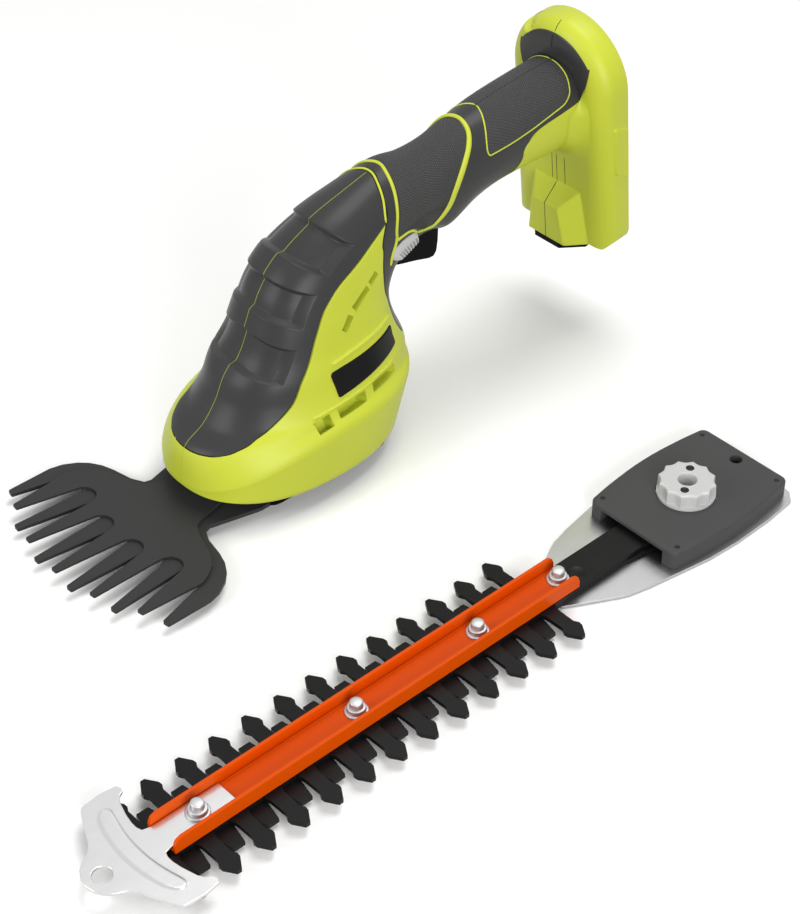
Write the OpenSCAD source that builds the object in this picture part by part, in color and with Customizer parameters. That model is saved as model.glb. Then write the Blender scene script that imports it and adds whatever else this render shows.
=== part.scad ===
/* [Grass blades] */
// Angle between neighbouring teeth of a grass blade, degrees
tooth_pitch = 14.15; // [12:0.05:14.4]
// Teeth on the swinging upper blade; the fixed lower blade has one more
upper_teeth = 5; // [3:2:5]
// Radius of the lower blade's tooth tips about the blade bolt
lower_tip_r = 97.3; // [92:0.1:105]
// Radius of the upper blade's tooth tips about the blade bolt
upper_tip_r = 95.7; // [90:0.1:97]
// Radius of the bottom of the gaps between the teeth
gullet_r = 58; // [57:0.5:66]
// Thickness of the lower blade
lower_blade_t = 2; // [1.5:0.1:2.4]
// Thickness of the upper blade
upper_blade_t = 1.5; // [1.2:0.1:2]
// Running gap between the two grass blades
blade_gap = 0.1; // [0.05:0.05:0.3]
// Radius of the shank of the blade bolt
bolt_r = 3; // [2.5:0.1:3.5]

/* [Grass cutting head] */
// Thickness of the base that the tool stands on
base_t = 4; // [3.5:0.1:4.5]
// Half width of the cutting head's cover
cassette_half_w = 25; // [24:0.5:27]
// Distance from the drive axis to the cover's front edge
cover_front = 33; // [32:0.5:33.5]
// Distance from the drive axis to the cover's rear edge
cover_rear = 38; // [37:0.5:42]
// Distance from the drive axis to the latch hole
latch_reach = 33.5; // [33:0.5:34.8]
// Radius of the latch hole
latch_r = 2.9; // [2.6:0.1:3.2]
// Wall of the covers
cover_wall = 2; // [1.5:0.1:2.5]
// Height of the docking face above the ground
dock_z = 16.5; // [15.5:0.5:17.5]

/* [Drive] */
// Distance from the blade bolt back to the drive axis
drive_back = 36; // [35:0.5:38]
// Distance from the drive axis back to the motor axis
motor_back = 16; // [14:0.5:18]
// Crank offset of both drive knobs
crank_r = 4.4; // [3.5:0.1:4.6]
// Radius of the crank pins
crank_pin_r = 3.5; // [3:0.1:3.8]
// Outer radius of the drive knob's lobes
knob_r = 12.4; // [12:0.1:12.8]
// Number of lobes on a drive knob
knob_lobes = 12; // [8:1:14]
// Radius of the hole in the top of a drive knob
knob_hole_r = 3.7; // [3:0.1:3.9]
// Radius of the motor
motor_r = 17; // [15:0.5:17.5]
// Length of the motor
motor_l = 50; // [44:1:52]
// Teeth on the motor pinion
motor_teeth = 10; // [10:1:12]
// Teeth on the intermediate gear
intermediate_teeth = 38; // [34:1:38]
// Teeth on the intermediate pinion
second_teeth = 10; // [10:1:12]
// Teeth on the output gear
output_teeth = 34; // [32:1:36]
// Module of the first gear pair
first_module = 0.65; // [0.6:0.01:0.66]
// Module of the second gear pair
second_module = 0.9; // [0.85:0.01:0.95]
// Radius of the output shaft
output_shaft_r = 4; // [3:0.1:4.5]
// Radius of the intermediate shaft
intermediate_shaft_r = 2.5; // [2:0.1:2.8]

/* [Housing] */
// Thickness of the shell
wall = 2; // [1.6:0.1:2.4]
// Thickness of the soft skins that lie in the shell
skin_t = 1.2; // [0.8:0.1:1.4]
// Half width of the body at its widest line
body_half_w = 39.5; // [38.5:0.1:42]
// Half width of the handle at its thinnest place
handle_half_w = 15; // [14.8:0.1:16.5]

/* [Foot] */
// Half width of the battery foot
foot_half_w = 31; // [30:0.5:34]
// Depth of the battery foot along the handle
foot_depth = 17; // [15:0.5:20]
// Distance from the handle's axis down to the foot's lower edge
foot_drop = 76; // [73:0.5:80]
// Half width of the battery socket
socket_half_w = 12; // [10:0.5:12.5]
// Half height of the battery socket
socket_half_h = 16.5; // [14:0.5:17]

/* [Controls] */
// Half width of the trigger
trigger_half_w = 6; // [5:0.1:6.5]
// Travel of the trigger, degrees
trigger_travel = 9; // [4:0.5:9]
// Travel of the lock-off button to each side
lock_travel = 3; // [1:0.5:3]
// Lift of the release catch
catch_lift = 4; // [2:0.5:5]

/* [Shrub attachment] */
// Distance from the tool's centre line to the attachment's
hedge_y = 148.5; // [140:0.5:170]
// Distance between neighbouring teeth
hedge_pitch = 16.5; // [16:0.1:17]
// Teeth along each side of the comb
hedge_teeth = 13; // [8:1:13]
// Reach of the comb's arrow teeth from the centre line
comb_reach = 29.5; // [24:0.5:30]
// Reach of the cutter's teeth from the centre line
cutter_reach = 19; // [16:0.5:21]
// Thickness of the comb and of the cutter
hedge_blade_t = 2; // [1.6:0.1:2]
// Thickness of the plate under the attachment
hedge_base_t = 1.5; // [1:0.1:1.6]
// Height of the attachment's cover above the ground
hedge_cover_z = 10; // [9.8:0.1:11]
// Half width of the rail and of the blades' spines
rail_half_w = 8.4; // [8:0.1:9]
// Height of the rail's sides
rail_h = 7.1; // [5:0.1:9]
// Radius of the hanging hole in the tip guard
hang_hole_r = 4; // [3.5:0.1:4.5]

/* [Hidden] */
$fn = 48;

// Clearances: pressed together, turning in a bore, sliding, and loose
press_gap = 0.02;
run_gap = 0.05;
slide_gap = 0.3;
loose_gap = 0.6;

// Heights, from the ground up
lower_top = base_t + lower_blade_t;
upper_bottom = lower_top + blade_gap;
upper_top = upper_bottom + upper_blade_t;
dock_t = 3;
socket_floor = dock_z + slide_gap;
knob_h = 7;
socket_top = dock_z + knob_h + 2.8;
frame_z = socket_top + 1.7;
plate_t = 3;
second_gear_z = frame_z + plate_t + 1;
second_gear_h = 6;
first_gear_z = second_gear_z + second_gear_h + 2;
first_gear_h = 5;
upper_plate_z = first_gear_z + first_gear_h + 2;
motor_z = upper_plate_z + plate_t;

// Axes of the gear train, in plan
drive_x = -drive_back;
motor_x = drive_x - motor_back;
first_distance = first_module * (motor_teeth + intermediate_teeth) / 2;
second_distance = second_module * (second_teeth + output_teeth) / 2;
from_motor = (first_distance ^ 2 - second_distance ^ 2 + motor_back ^ 2) / (2 * motor_back);
intermediate_x = motor_x + from_motor;
intermediate_y = sqrt(first_distance ^ 2 - from_motor ^ 2);
to_intermediate = atan2(intermediate_y, from_motor);
to_output = atan2(-intermediate_y, drive_x - intermediate_x);
pressure_angle = 25;
gear_thin = 0.16;
gear_addendum = 0.8;
gear_dedendum = 1.05;
motor_shaft_r = 1.6;

// The waist of the body wraps the gear train, and the handle stands as high as the motor asks
gear_room = 2.2;
gear_reach = intermediate_y + first_module * intermediate_teeth / 2 + gear_addendum * first_module;
waist = gear_reach + gear_room + wall + skin_t;
drawn_motor_top = 100;
rise = motor_z + motor_l - drawn_motor_top;

// The body and handle are one bent loft. Each row is a section: front or top point (x, z), rear or
// bottom point (x, z), half width, roundness, and how far its middle arches up.
drawn_stations = [
    [  26.6,  15.5,  -87.0,  9.0, body_half_w - 1.5,     2.40, -2.0],
    [  26.6,  18.0,  -96.0, 34.0, body_half_w,           2.35,  8.0],
    [  23.4,  34.5,  -97.5, 41.0, waist + 2.0,           2.15,  3.5],
    [  12.5,  42.0,  -96.5, 47.0, waist,                 2.20,  2.0],
    [   5.1,  51.0,  -93.5, 53.5, waist - 2.0,           2.35,  0.5],
    [   0.0,  61.0,  -90.0, 60.5, waist - 4.0,           2.50,  0.0],
    [  -8.0,  71.0,  -87.5, 67.0, waist - 6.0,           2.60,  0.0],
    [ -14.5,  85.0,  -86.5, 72.0, motor_r + 9.0,         2.60,  0.0],
    [ -20.0,  97.0,  -87.0, 76.0, motor_r + 7.5,         2.60,  0.0],
    [ -31.0, 109.0,  -88.5, 79.5, motor_r + 6.0,         2.60,  0.0],
    [ -50.0, 119.3,  -91.5, 83.0, handle_half_w + 6.0,   2.50,  0.0],
    [ -70.0, 125.3,  -97.0, 86.0, handle_half_w + 4.0,   2.40,  0.0],
    [ -92.0, 130.5, -107.0, 87.5, handle_half_w + 1.5,   2.25,  0.0],
    [-107.0, 129.3, -116.0, 86.5, handle_half_w,         2.20,  0.0],
    [-122.0, 130.5, -126.0, 84.5, handle_half_w,         2.20,  0.0],
    [-138.0, 134.3, -140.0, 92.0, handle_half_w + 0.6,   2.25,  0.0],
    [-155.0, 137.5, -153.5, 96.0, handle_half_w + 1.2,   2.35,  0.0],
    [-175.0, 140.0, -173.0, 97.0, handle_half_w + 1.5,   2.40,  0.0],
    [-201.0, 142.2, -205.5, 97.0, handle_half_w + 2.5,   2.40,  0.0]];
rise_rows = [4, 8];
function rise_at(i) = rise * min(1, max(0, (i - rise_rows[0]) / (rise_rows[1] - rise_rows[0])));
stations = [for (i = [0:len(drawn_stations) - 1])
    drawn_stations[i] + rise_at(i) * [0, 1, 0, 1, 0, 0, 0]];

// Where the skins start and end along the loft, and the rows that the shell is built on
nose_skin = [2, 11.3];
grip_skin = [11.9, 17.6];
step_u = 0.02;
last_row = len(stations) - 1;
skin_cols = 8;
side_cols = 8;
shell_rows = concat(
    [0, 0.5, 1, 1.4, nose_skin[0]], row_span(nose_skin), [nose_skin[1]],
    [grip_skin[0]], row_span(grip_skin), [grip_skin[1], last_row]);

// The foot stands square to the handle's axis, which rises to the rear
foot_at = [-203, 0, 119.5 + rise];
foot_tilt = 6;
foot_front = 3;
foot_corner_r = 8;
foot_round = 7;
foot_wall = 3;
foot_face_t = 5;
foot_side = 9;
foot_lip = 3;
foot_top_z = foot_half_w * 0.3;
boss_front = 12;
boss_half_w = 8;
boss_h = 18;
boss_low = 4;
boss_base_half_w = 17;
boss_base_h = 29;
boss_base_low = 1.5;
pad_t = 2;

// Controls in the handle
trigger_pivot = [-104, 100.5 + rise];
trigger_pin_r = 2;
trigger_pin_half = handle_half_w - skin_t - wall - 0.8;
trigger_back = -129;
trigger_slot_front = -93.2;
trigger_slot_z = [78 + rise, 98 + rise];
trigger_slot_rear = trigger_back - (trigger_pivot[1] - trigger_slot_z[0]) * sin(trigger_travel) - loose_gap;
lock_front = [-86, 95.3 + rise];
lock_rear = [-101, 93.6 + rise];
lock_end_r = 3;
lock_front_half = 20.5;
lock_rear_half = 14.5;
lock_bar_r = 2.2;
lock_inner = trigger_half_w + lock_travel + 0.5;
catch_arm_z = dock_z + dock_t + 0.5;
catch_arm_t = 3;
catch_half_w = 5;
catch_back = 97.5;
catch_tab_t = 3;
catch_tab_rim = 2;
catch_pin_r = latch_r - 0.4;
latch_boss_r = latch_r + 1.6;

// Screws through both halves: place in side view, and how far the boss goes into the shell
screw_spots = [for (s = [[4, 30, 0.4], [-82, 52, 0.4], [-66, 113 + rise, -1], [-152, 104 + rise, 0]])
    [s[0], s[1], inner_half(s[0], s[1]) + s[2]]];
screw_r = 1.5;
screw_head_r = 3;
screw_head_y = 5;
screw_head_h = 3;
screw_boss_r = 4.6;
screw_bite = 8;

// Cooling slots in the shell: each runs between two places (section, angle) on the loft
vents = [[9.47, 97, 8.89, 97], [8.97, 93, 7.71, 90], [7.39, 90, 6.71, 88],
         [3.06, 124, 2.40, 106], [2.96, 101, 2.20, 88], [2.44, 84, 1.80, 79]];
vent_half = 2;
vent_depth = 9;

// Shrub attachment, measured along the tool's own x
hedge_drive_x = -138;
hedge_rear = hedge_drive_x - cover_rear;
hedge_front = hedge_drive_x + cover_front;
hedge_first = -42.65;
hedge_cutter_z = hedge_base_t + 0.2;
hedge_comb_z = hedge_cutter_z + hedge_blade_t + 0.2;
rail_z = hedge_comb_z + hedge_blade_t + 0.5;
rail_t = 1.5;
rail_start = -62;
rail_end = hedge_first + (hedge_teeth - 1) * hedge_pitch - 3.35;
guard_z = rail_z + rail_t;
guard_t = 1.5;
guard_start = rail_end - 32;
guard_end = rail_end + 34.5;
hang_hole_x = guard_end - hang_hole_r - 3.5;
hedge_bolts = [rail_start + 4.5, rail_start + 51.5, (rail_start + rail_end) / 2 + 10.7, rail_end - 17.2];
hedge_bolt_r = 2.5;
hedge_disc_z = hedge_cover_z - cover_wall - 1.8;
hedge_knob_h = 7.4;
knob_neck_r = knob_r + 0.8;
crank_disc_r = knob_r + 2.4;
crank_disc_t = 1.5;
cutter_travel = crank_r;

// Rows for a skin that runs between two places on the loft
function row_span(ends) = concat([ends[0] + step_u],
    [for (u = [ceil(ends[0] * 2 + 0.3) / 2 : 0.5 : floor(ends[1] * 2 - 0.3) / 2]) u], [ends[1] - step_u]);
function in_skin(u, ends) = u > ends[0] && u < ends[1];
function signed_power(v, p) = sign(v) * pow(abs(v), p);
function catmull(a, b, c, d, t) =
    (2 * b + (c - a) * t + (2 * a - 5 * b + 4 * c - d) * t * t + (3 * b - a - 3 * c + d) * t * t * t) / 2;
function station(u) = let (i = min(floor(u), last_row - 1), t = u - i)
    i == 0 ? stations[0] * (1 - t) + stations[1] * t
    : catmull(stations[i - 1], stations[i], stations[i + 1], stations[min(i + 2, last_row)], t);
// Point of the loft at section u and angle th (0 front or top, 180 rear or bottom), moved out by off
function loft_point(u, th, off) =
    let (s = station(u), p = 2 / s[5], k = signed_power(cos(th), p),
         half = [s[0] - s[2], s[1] - s[3]] / 2, l = norm(half), arch = s[6] * (1 - k * k) * (1 + k / 2))
    [(s[0] + s[2]) / 2 + k * half[0] * (l + off) / l - arch * half[1] / l,
     (s[4] + off) * pow(abs(sin(th)), p),
     (s[1] + s[3]) / 2 + k * half[1] * (l + off) / l + arch * half[0] / l];
// Half width of the hollow inside the shell at a place in side view
function inner_half(x, z) =
    let (near = [for (u = [0:0.2:last_row], th = [0:5:180]) let (p = loft_point(u, th, -skin_t - wall))
                 [norm([p[0] - x, p[2] - z]), p[1]]],
         least = min([for (n = near) n[0]]))
    [for (n = near) if (n[0] == least) n[1]][0];
// Angle of the skins' lower edge: it sweeps round the nose, then wraps the handle
function skin_edge(u) =
    let (nose = 36 + 28 * (1 - exp(-max(0, u - 2) / 1.2)) + 15 * exp(-pow((u - 9.8) / 1.8, 2)), grip = 118)
    u <= nose_skin[1] ? nose
    : u >= grip_skin[0] ? grip
    : nose + (grip - nose) * (u - nose_skin[1]) / (grip_skin[0] - nose_skin[1]);
function skin_angles(u) = [for (j = [0:skin_cols]) skin_edge(u) * j / skin_cols];
function side_angles(u) = let (start = skin_edge(u) + 0.8)
    [for (j = [0:side_cols]) start + (180 - start) * j / side_cols];
function reversed(list) = [for (i = [len(list) - 1 : -1 : 0]) list[i]];

// Closed solid from rings; each ring is an outer run followed by its inner run backwards
module ring_solid(rings) {
    n = len(rings[0]);
    half = n / 2;
    last = len(rings) - 1;
    sides = [for (i = [0:last - 1], k = [0:n - 1])
        let (a = i * n + k, b = a + n, d = i * n + (k + 1) % n, c = d + n)
        each (k < half ? [[a, b, c], [a, c, d]] : [[a, b, d], [b, c, d]])];
    caps = [for (j = [0:half - 2])
        let (a = j, b = j + 1, c = n - 2 - j, d = n - 1 - j, e = last * n)
        each [[a, b, c], [a, c, d], [e + c, e + b, e + a], [e + d, e + c, e + a]]];
    polyhedron([for (r = rings) each r], concat(sides, caps));
}
module half_shell() {
    ring_solid([for (u = shell_rows)
        let (sunk = in_skin(u, nose_skin) || in_skin(u, grip_skin),
             angles = concat(skin_angles(u), side_angles(u)))
        concat([for (th = skin_angles(u)) loft_point(u, th, sunk ? -skin_t : 0)],
               [for (th = side_angles(u)) loft_point(u, th, 0)],
               [for (th = reversed(angles)) loft_point(u, th, -skin_t - wall)])]);
}
module half_skin(ends) {
    ring_solid([for (u = row_span(ends))
        concat([for (th = skin_angles(u)) loft_point(u, th, 0)],
               [for (th = reversed(skin_angles(u))) loft_point(u, th, -skin_t)])]);
}
module along_y(x, z, r, from, to) {
    translate([x, from, z]) rotate([-90, 0, 0]) cylinder(r = r, h = to - from);
}
module along_x(y, z, r, from, to) {
    translate([from, y, z]) rotate([0, 90, 0]) cylinder(r = r, h = to - from, $fn = 32);
}
module on_foot() { translate(foot_at) rotate([0, foot_tilt, 0]) children(); }

// Foot: a rounded block, open to the rear, with a boss low on its front
module foot_block(inset, front, rear) {
    corner_y = foot_half_w - foot_corner_r;
    corner_z = foot_corner_r - foot_drop;
    hull() {
        along_x(0, foot_top_z, foot_half_w - inset, rear, rear + foot_side);
        for (side = [-1, 1])
            along_x(side * corner_y, corner_z, foot_corner_r - inset, rear, rear + foot_side);
        along_x(0, foot_top_z, foot_half_w - foot_round - inset, front - foot_lip, front);
        for (side = [-1, 1])
            along_x(side * (corner_y - foot_round), corner_z + 2, foot_corner_r - inset,
                    front - foot_lip, front);
    }
}
module foot_boss() {
    hull() {
        translate([boss_front - 1, -boss_half_w, boss_low - foot_drop])
            cube([1, 2 * boss_half_w, boss_h]);
        translate([foot_front - 2, -boss_base_half_w, boss_base_low - foot_drop])
            cube([1, 2 * boss_base_half_w, boss_base_h]);
    }
}
module half_foot() {
    far = 300;
    intersection() {
        on_foot() difference() {
            union() {
                foot_block(0, foot_front, foot_front - foot_depth);
                foot_boss();
            }
            foot_block(foot_wall, foot_front - foot_face_t, foot_front - foot_depth - 1);
            translate([foot_front - foot_face_t - 1, -socket_half_w, -socket_half_h])
                cube([foot_face_t + 2, 2 * socket_half_w, 2 * socket_half_h]);
        }
        translate([-far, 0, 0]) cube([far / 2, far, far]);
    }
}
module lock_hole(gap) {
    hull() {
        along_y(lock_front[0], lock_front[1], lock_end_r + gap, 5, 40);
        along_y(lock_rear[0], lock_rear[1], lock_end_r + gap, 5, 40);
    }
}
module vent(ends) {
    a = loft_point(ends[0], ends[1], 0);
    b = loft_point(ends[2], ends[3], 0);
    run = b - a;
    translate([a[0], min(a[1], b[1]) - vent_depth, a[2]]) rotate([0, -atan2(run[2], run[0]), 0])
        translate([0, 0, -vent_half]) cube([norm([run[0], run[2]]), 2 * vent_depth, 2 * vent_half]);
}
// Cuts that both halves share, drawn on the left side
module half_cuts() {
    translate([trigger_slot_rear, -1, trigger_slot_z[0]])
        cube([trigger_slot_front - trigger_slot_rear, trigger_half_w + 2,
              trigger_slot_z[1] - trigger_slot_z[0]]);
    translate([-catch_back - 8, -1, catch_arm_z - loose_gap])
        cube([25, catch_half_w + loose_gap + 1, catch_arm_t + catch_lift + 2 * loose_gap]);
    lock_hole(0.4);
    for (v = vents) vent(v);
}
module screw_bosses() { for (s = screw_spots) along_y(s[0], s[1], screw_boss_r, 0, s[2]); }
module switch_pegs() {
    along_y(switch_peg[0], switch_peg[1], switch_peg_r, 0.2, handle_half_w - skin_t - wall + 0.6);
}

module left_housing() {
    color("yellowgreen") difference() {
        union() {
            half_shell();
            half_foot();
            screw_bosses();
            switch_pegs();
        }
        half_cuts();
        for (s = screw_spots) along_y(s[0], s[1], screw_r + press_gap, -1, screw_bite);
    }
}
module right_housing() {
    color("yellowgreen") mirror([0, 1, 0]) difference() {
        union() {
            half_shell();
            half_foot();
            screw_bosses();
            switch_pegs();
        }
        half_cuts();
        for (s = screw_spots) {
            along_y(s[0], s[1], screw_r + 0.2, -1, screw_head_y + 1);
            along_y(s[0], s[1], screw_head_r + 0.3, screw_head_y, 60);
        }
    }
}
module left_nose_cover() { color("dimgray") half_skin(nose_skin); }
module right_nose_cover() { color("dimgray") mirror([0, 1, 0]) half_skin(nose_skin); }
module left_grip() { color("dimgray") half_skin(grip_skin); }
module right_grip() { color("dimgray") mirror([0, 1, 0]) half_skin(grip_skin); }
module housing_screw(i) {
    s = screw_spots[i];
    color("silver") union() {
        along_y(s[0], s[1], screw_r, -screw_head_y, screw_bite);
        along_y(s[0], s[1], screw_head_r, -screw_head_y - screw_head_h, -screw_head_y);
    }
}
module foot_pad() {
    color("black") on_foot() difference() {
        translate([0, 0, -foot_drop - pad_t]) linear_extrude(3 * pad_t)
            polygon([[0, -boss_base_half_w], [foot_front - 1, -boss_base_half_w],
                     [boss_front - 0.5, -boss_half_w], [boss_front - 0.5, boss_half_w],
                     [foot_front - 1, boss_base_half_w], [0, boss_base_half_w]]);
        foot_boss();
        foot_block(0, foot_front, foot_front - foot_depth);
    }
}

// Outline of a section with the loft's roundness, for the pieces that close it
function rounded_outline(half_l, half_w, n) = [for (a = [0:6:354])
    [half_l * signed_power(cos(a), 2 / n), half_w * signed_power(sin(a), 2 / n)]];
dock_mid = (stations[1][0] + stations[0][2]) / 2 - 1.5;
dock_half_l = (stations[1][0] - stations[0][2]) / 2 + 1 - skin_t - wall - loose_gap;
dock_half_w = body_half_w - 1 - skin_t - wall - loose_gap;
catch_x = drive_x - latch_reach;
module docking_plate() {
    color("#202020") difference() {
        translate([dock_mid, 0, dock_z]) linear_extrude(dock_t)
            polygon(rounded_outline(dock_half_l, dock_half_w, 2.3));
        translate([drive_x, 0, dock_z - 1]) cylinder(r = socket_r + slide_gap, h = dock_t + 2);
        translate([catch_x, 0, dock_z - 1]) cylinder(r = latch_r, h = dock_t + 2);
        along_y(screw_spots[0][0], screw_spots[0][1], screw_boss_r + 1, -body_half_w, body_half_w);
    }
}
socket_r = knob_r + 4.2;
post_r = 3;
post_y = 20;
post_x = [drive_x - 30, drive_x + 16];
plate_corner_r = 5;
pinion_hole_r = 5;
post_spots = [for (x = post_x, y = [-post_y, post_y]) [x, y]];
module plate_outline() { hull() for (p = post_spots) translate(p) circle(plate_corner_r); }
// Bearing holes of both gear plates
module bearing_holes(z) {
    translate([drive_x, 0, z - 1]) cylinder(r = output_shaft_r + run_gap, h = plate_t + 2);
    translate([intermediate_x, intermediate_y, z - 1])
        cylinder(r = intermediate_shaft_r + run_gap, h = plate_t + 2);
}
module gear_frame() {
    post_z = dock_z + dock_t;
    color("silver") difference() {
        union() {
            translate([0, 0, frame_z]) linear_extrude(plate_t) plate_outline();
            for (p = post_spots) translate([p[0], p[1], post_z])
                cylinder(r = post_r, h = upper_plate_z - post_z);
        }
        bearing_holes(frame_z);
    }
}
module upper_gear_plate() {
    color("silver") difference() {
        translate([0, 0, upper_plate_z]) linear_extrude(plate_t) plate_outline();
        bearing_holes(upper_plate_z);
        translate([motor_x, 0, upper_plate_z - 1]) cylinder(r = pinion_hole_r, h = plate_t + 2);
    }
}
motor_cap_r = 8;
motor_cap_h = 2;
module motor_can() {
    color("gray") translate([motor_x, 0, motor_z]) difference() {
        cylinder(r = motor_r, h = motor_l);
        translate([0, 0, -1]) cylinder(r = motor_shaft_r + run_gap, h = motor_l + 2);
        translate([0, 0, motor_l - motor_cap_h]) difference() {
            cylinder(r = motor_r + 1, h = motor_cap_h + 1);
            cylinder(r = motor_cap_r, h = motor_cap_h + 1);
        }
    }
}
pinion_z = first_gear_z - 0.5;
module motor_shaft() {
    color("silver") translate([motor_x, 0, pinion_z])
        cylinder(r = motor_shaft_r, h = motor_z + motor_l - pinion_z);
}

// Spur gear with involute teeth; turn is the angle of one tooth's middle
function involute(a) = tan(a) * 180 / PI - a;
function tooth_half_angle(rho, r, teeth) = let (base = r * cos(pressure_angle))
    90 / teeth - gear_thin / r * 90 / PI + involute(pressure_angle)
    - involute(acos(min(1, base / max(rho, base))));
function gear_outline(teeth, m) =
    let (r = m * teeth / 2, tip = r + gear_addendum * m, root = r - gear_dedendum * m,
         start = max(r * cos(pressure_angle), root),
         rise = [for (t = [0:0.25:1]) start + (tip - start) * t])
    [for (i = [0:teeth - 1]) let (mid = 360 * i / teeth)
        each concat([[root, mid - tooth_half_angle(start, r, teeth)]],
                    [for (rho = rise) [rho, mid - tooth_half_angle(rho, r, teeth)]],
                    [for (rho = reversed(rise)) [rho, mid + tooth_half_angle(rho, r, teeth)]],
                    [[root, mid + tooth_half_angle(start, r, teeth)]])];
module gear(teeth, m, h, bore, turn) {
    rotate([0, 0, turn]) linear_extrude(h) difference() {
        polygon([for (p = gear_outline(teeth, m)) p[0] * [cos(p[1]), sin(p[1])]]);
        circle(bore);
    }
}
module motor_pinion() {
    color("goldenrod") translate([motor_x, 0, pinion_z])
        gear(motor_teeth, first_module, first_gear_h + 1, motor_shaft_r + press_gap, to_intermediate);
}
module intermediate_shaft() {
    color("silver") translate([intermediate_x, intermediate_y, frame_z])
        cylinder(r = intermediate_shaft_r, h = motor_z - frame_z - 0.2);
}
module intermediate_gear() {
    color("ivory") translate([intermediate_x, intermediate_y, first_gear_z])
        gear(intermediate_teeth, first_module, first_gear_h, intermediate_shaft_r + press_gap,
             to_intermediate + 180 + 180 / intermediate_teeth);
}
module intermediate_pinion() {
    color("goldenrod") translate([intermediate_x, intermediate_y, second_gear_z - 0.2])
        gear(second_teeth, second_module, second_gear_h + 0.4, intermediate_shaft_r + press_gap, to_output);
}
module output_gear() {
    color("dimgray") translate([drive_x, 0, second_gear_z])
        gear(output_teeth, second_module, second_gear_h, output_shaft_r + press_gap,
             to_output + 180 + 180 / output_teeth);
}
module output_shaft() {
    color("silver") translate([drive_x, 0, socket_top - 2])
        cylinder(r = output_shaft_r, h = motor_z - socket_top + 1.8);
}
// Lobed bar: round, with one groove for each lobe
module lobes(r, groove_r, h) {
    difference() {
        cylinder(r = r, h = h);
        for (i = [0:knob_lobes - 1]) rotate([0, 0, 360 * (i + 0.5) / knob_lobes])
            translate([knob_r + 0.6, 0, -1]) cylinder(r = groove_r, h = h + 2, $fn = 24);
    }
}
module drive_socket() {
    color("#303030") translate([drive_x, 0, socket_floor]) difference() {
        cylinder(r = socket_r, h = socket_top - socket_floor);
        translate([0, 0, -1]) lobes(knob_r + slide_gap, 1.25, knob_h + 1.3);
        translate([0, 0, -1]) cylinder(r = output_shaft_r + press_gap, h = socket_top);
    }
}
// Drive knob: neck in the cover's hole, lobes above it, from a given height
module knob(disc_top, cover_top, h) {
    difference() {
        union() {
            translate([0, 0, disc_top]) cylinder(r = knob_neck_r, h = cover_top - disc_top);
            translate([0, 0, cover_top]) lobes(knob_r, 1.6, h);
        }
        translate([0, 0, cover_top]) cylinder(r = knob_hole_r, h = h + 1);
    }
}
// Crank: disc under the cover with the pin that drives a blade
module crank(pin_bottom, disc_z) {
    translate([0, 0, disc_z]) cylinder(r = crank_disc_r, h = crank_disc_t);
    translate([-crank_r, 0, pin_bottom]) cylinder(r = crank_pin_r, h = disc_z - pin_bottom);
}
grass_disc_z = dock_z - cover_wall - crank_disc_t - slide_gap;
module drive_knob() {
    color("lightgray") translate([drive_x, 0, 0]) union() {
        crank(lower_top + 0.3, grass_disc_z);
        knob(grass_disc_z + crank_disc_t, dock_z, knob_h);
    }
}

// Controls
module trigger_pin() {
    color("silver")
        along_y(trigger_pivot[0], trigger_pivot[1], trigger_pin_r, -trigger_pin_half, trigger_pin_half);
}
module trigger() {
    color("#181818") difference() {
        translate([0, trigger_half_w, rise]) rotate([90, 0, 0]) linear_extrude(2 * trigger_half_w)
            polygon([[-95, 81], [-95, 78.2], [-98, 77.2], [-107, 75], [-116, 72.4], [-118.6, 72.4],
                     [-120.4, 74.5], [-121.2, 80], [-121.4, 86.6], [trigger_back, 88], [trigger_back + 2, 95],
                     [-114, 104], [-108, 106], [-101, 106], [-98, 101], [-96, 90]]);
        along_y(trigger_pivot[0], trigger_pivot[1], trigger_pin_r + run_gap, -20, 20);
    }
}
module lock_off_button() {
    color("lightgray") union() {
        for (side = [0, 1]) mirror([0, side, 0]) hull() {
            along_y(lock_front[0], lock_front[1], lock_end_r, lock_inner, lock_front_half);
            along_y(lock_rear[0], lock_rear[1], lock_end_r, lock_inner, lock_rear_half);
        }
        along_y(lock_front[0], lock_front[1], lock_bar_r, -lock_inner - 1, lock_inner + 1);
    }
}
module release_catch() {
    pin_z = dock_z - cover_wall - 0.5;
    color("#181818") union() {
        translate([catch_x, 0, pin_z]) cylinder(r = catch_pin_r, h = catch_arm_z - pin_z + 0.5);
        translate([catch_x, 0, catch_arm_z]) cylinder(r = catch_half_w, h = catch_arm_t);
        translate([-catch_back + catch_tab_t, -catch_half_w, catch_arm_z])
            cube([catch_back + catch_x - 2 * catch_tab_t, 2 * catch_half_w, catch_arm_t]);
        translate([-catch_back, -catch_half_w - catch_tab_rim, catch_arm_z - catch_tab_rim])
            cube([catch_tab_t, 2 * (catch_half_w + catch_tab_rim), catch_arm_t + 2 * catch_tab_rim]);
    }
}
switch_box = [16, 14, 14];
switch_at = [-147, 104 + rise];
switch_peg = [switch_at[0] + 7, switch_at[1] + 5];
switch_peg_r = 2;
module main_switch() {
    color("#202020") difference() {
        translate([switch_at[0], -switch_box[1] / 2, switch_at[1]]) cube(switch_box);
        along_y(switch_peg[0], switch_peg[1], switch_peg_r + 0.2, -20, 20);
    }
}
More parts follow.
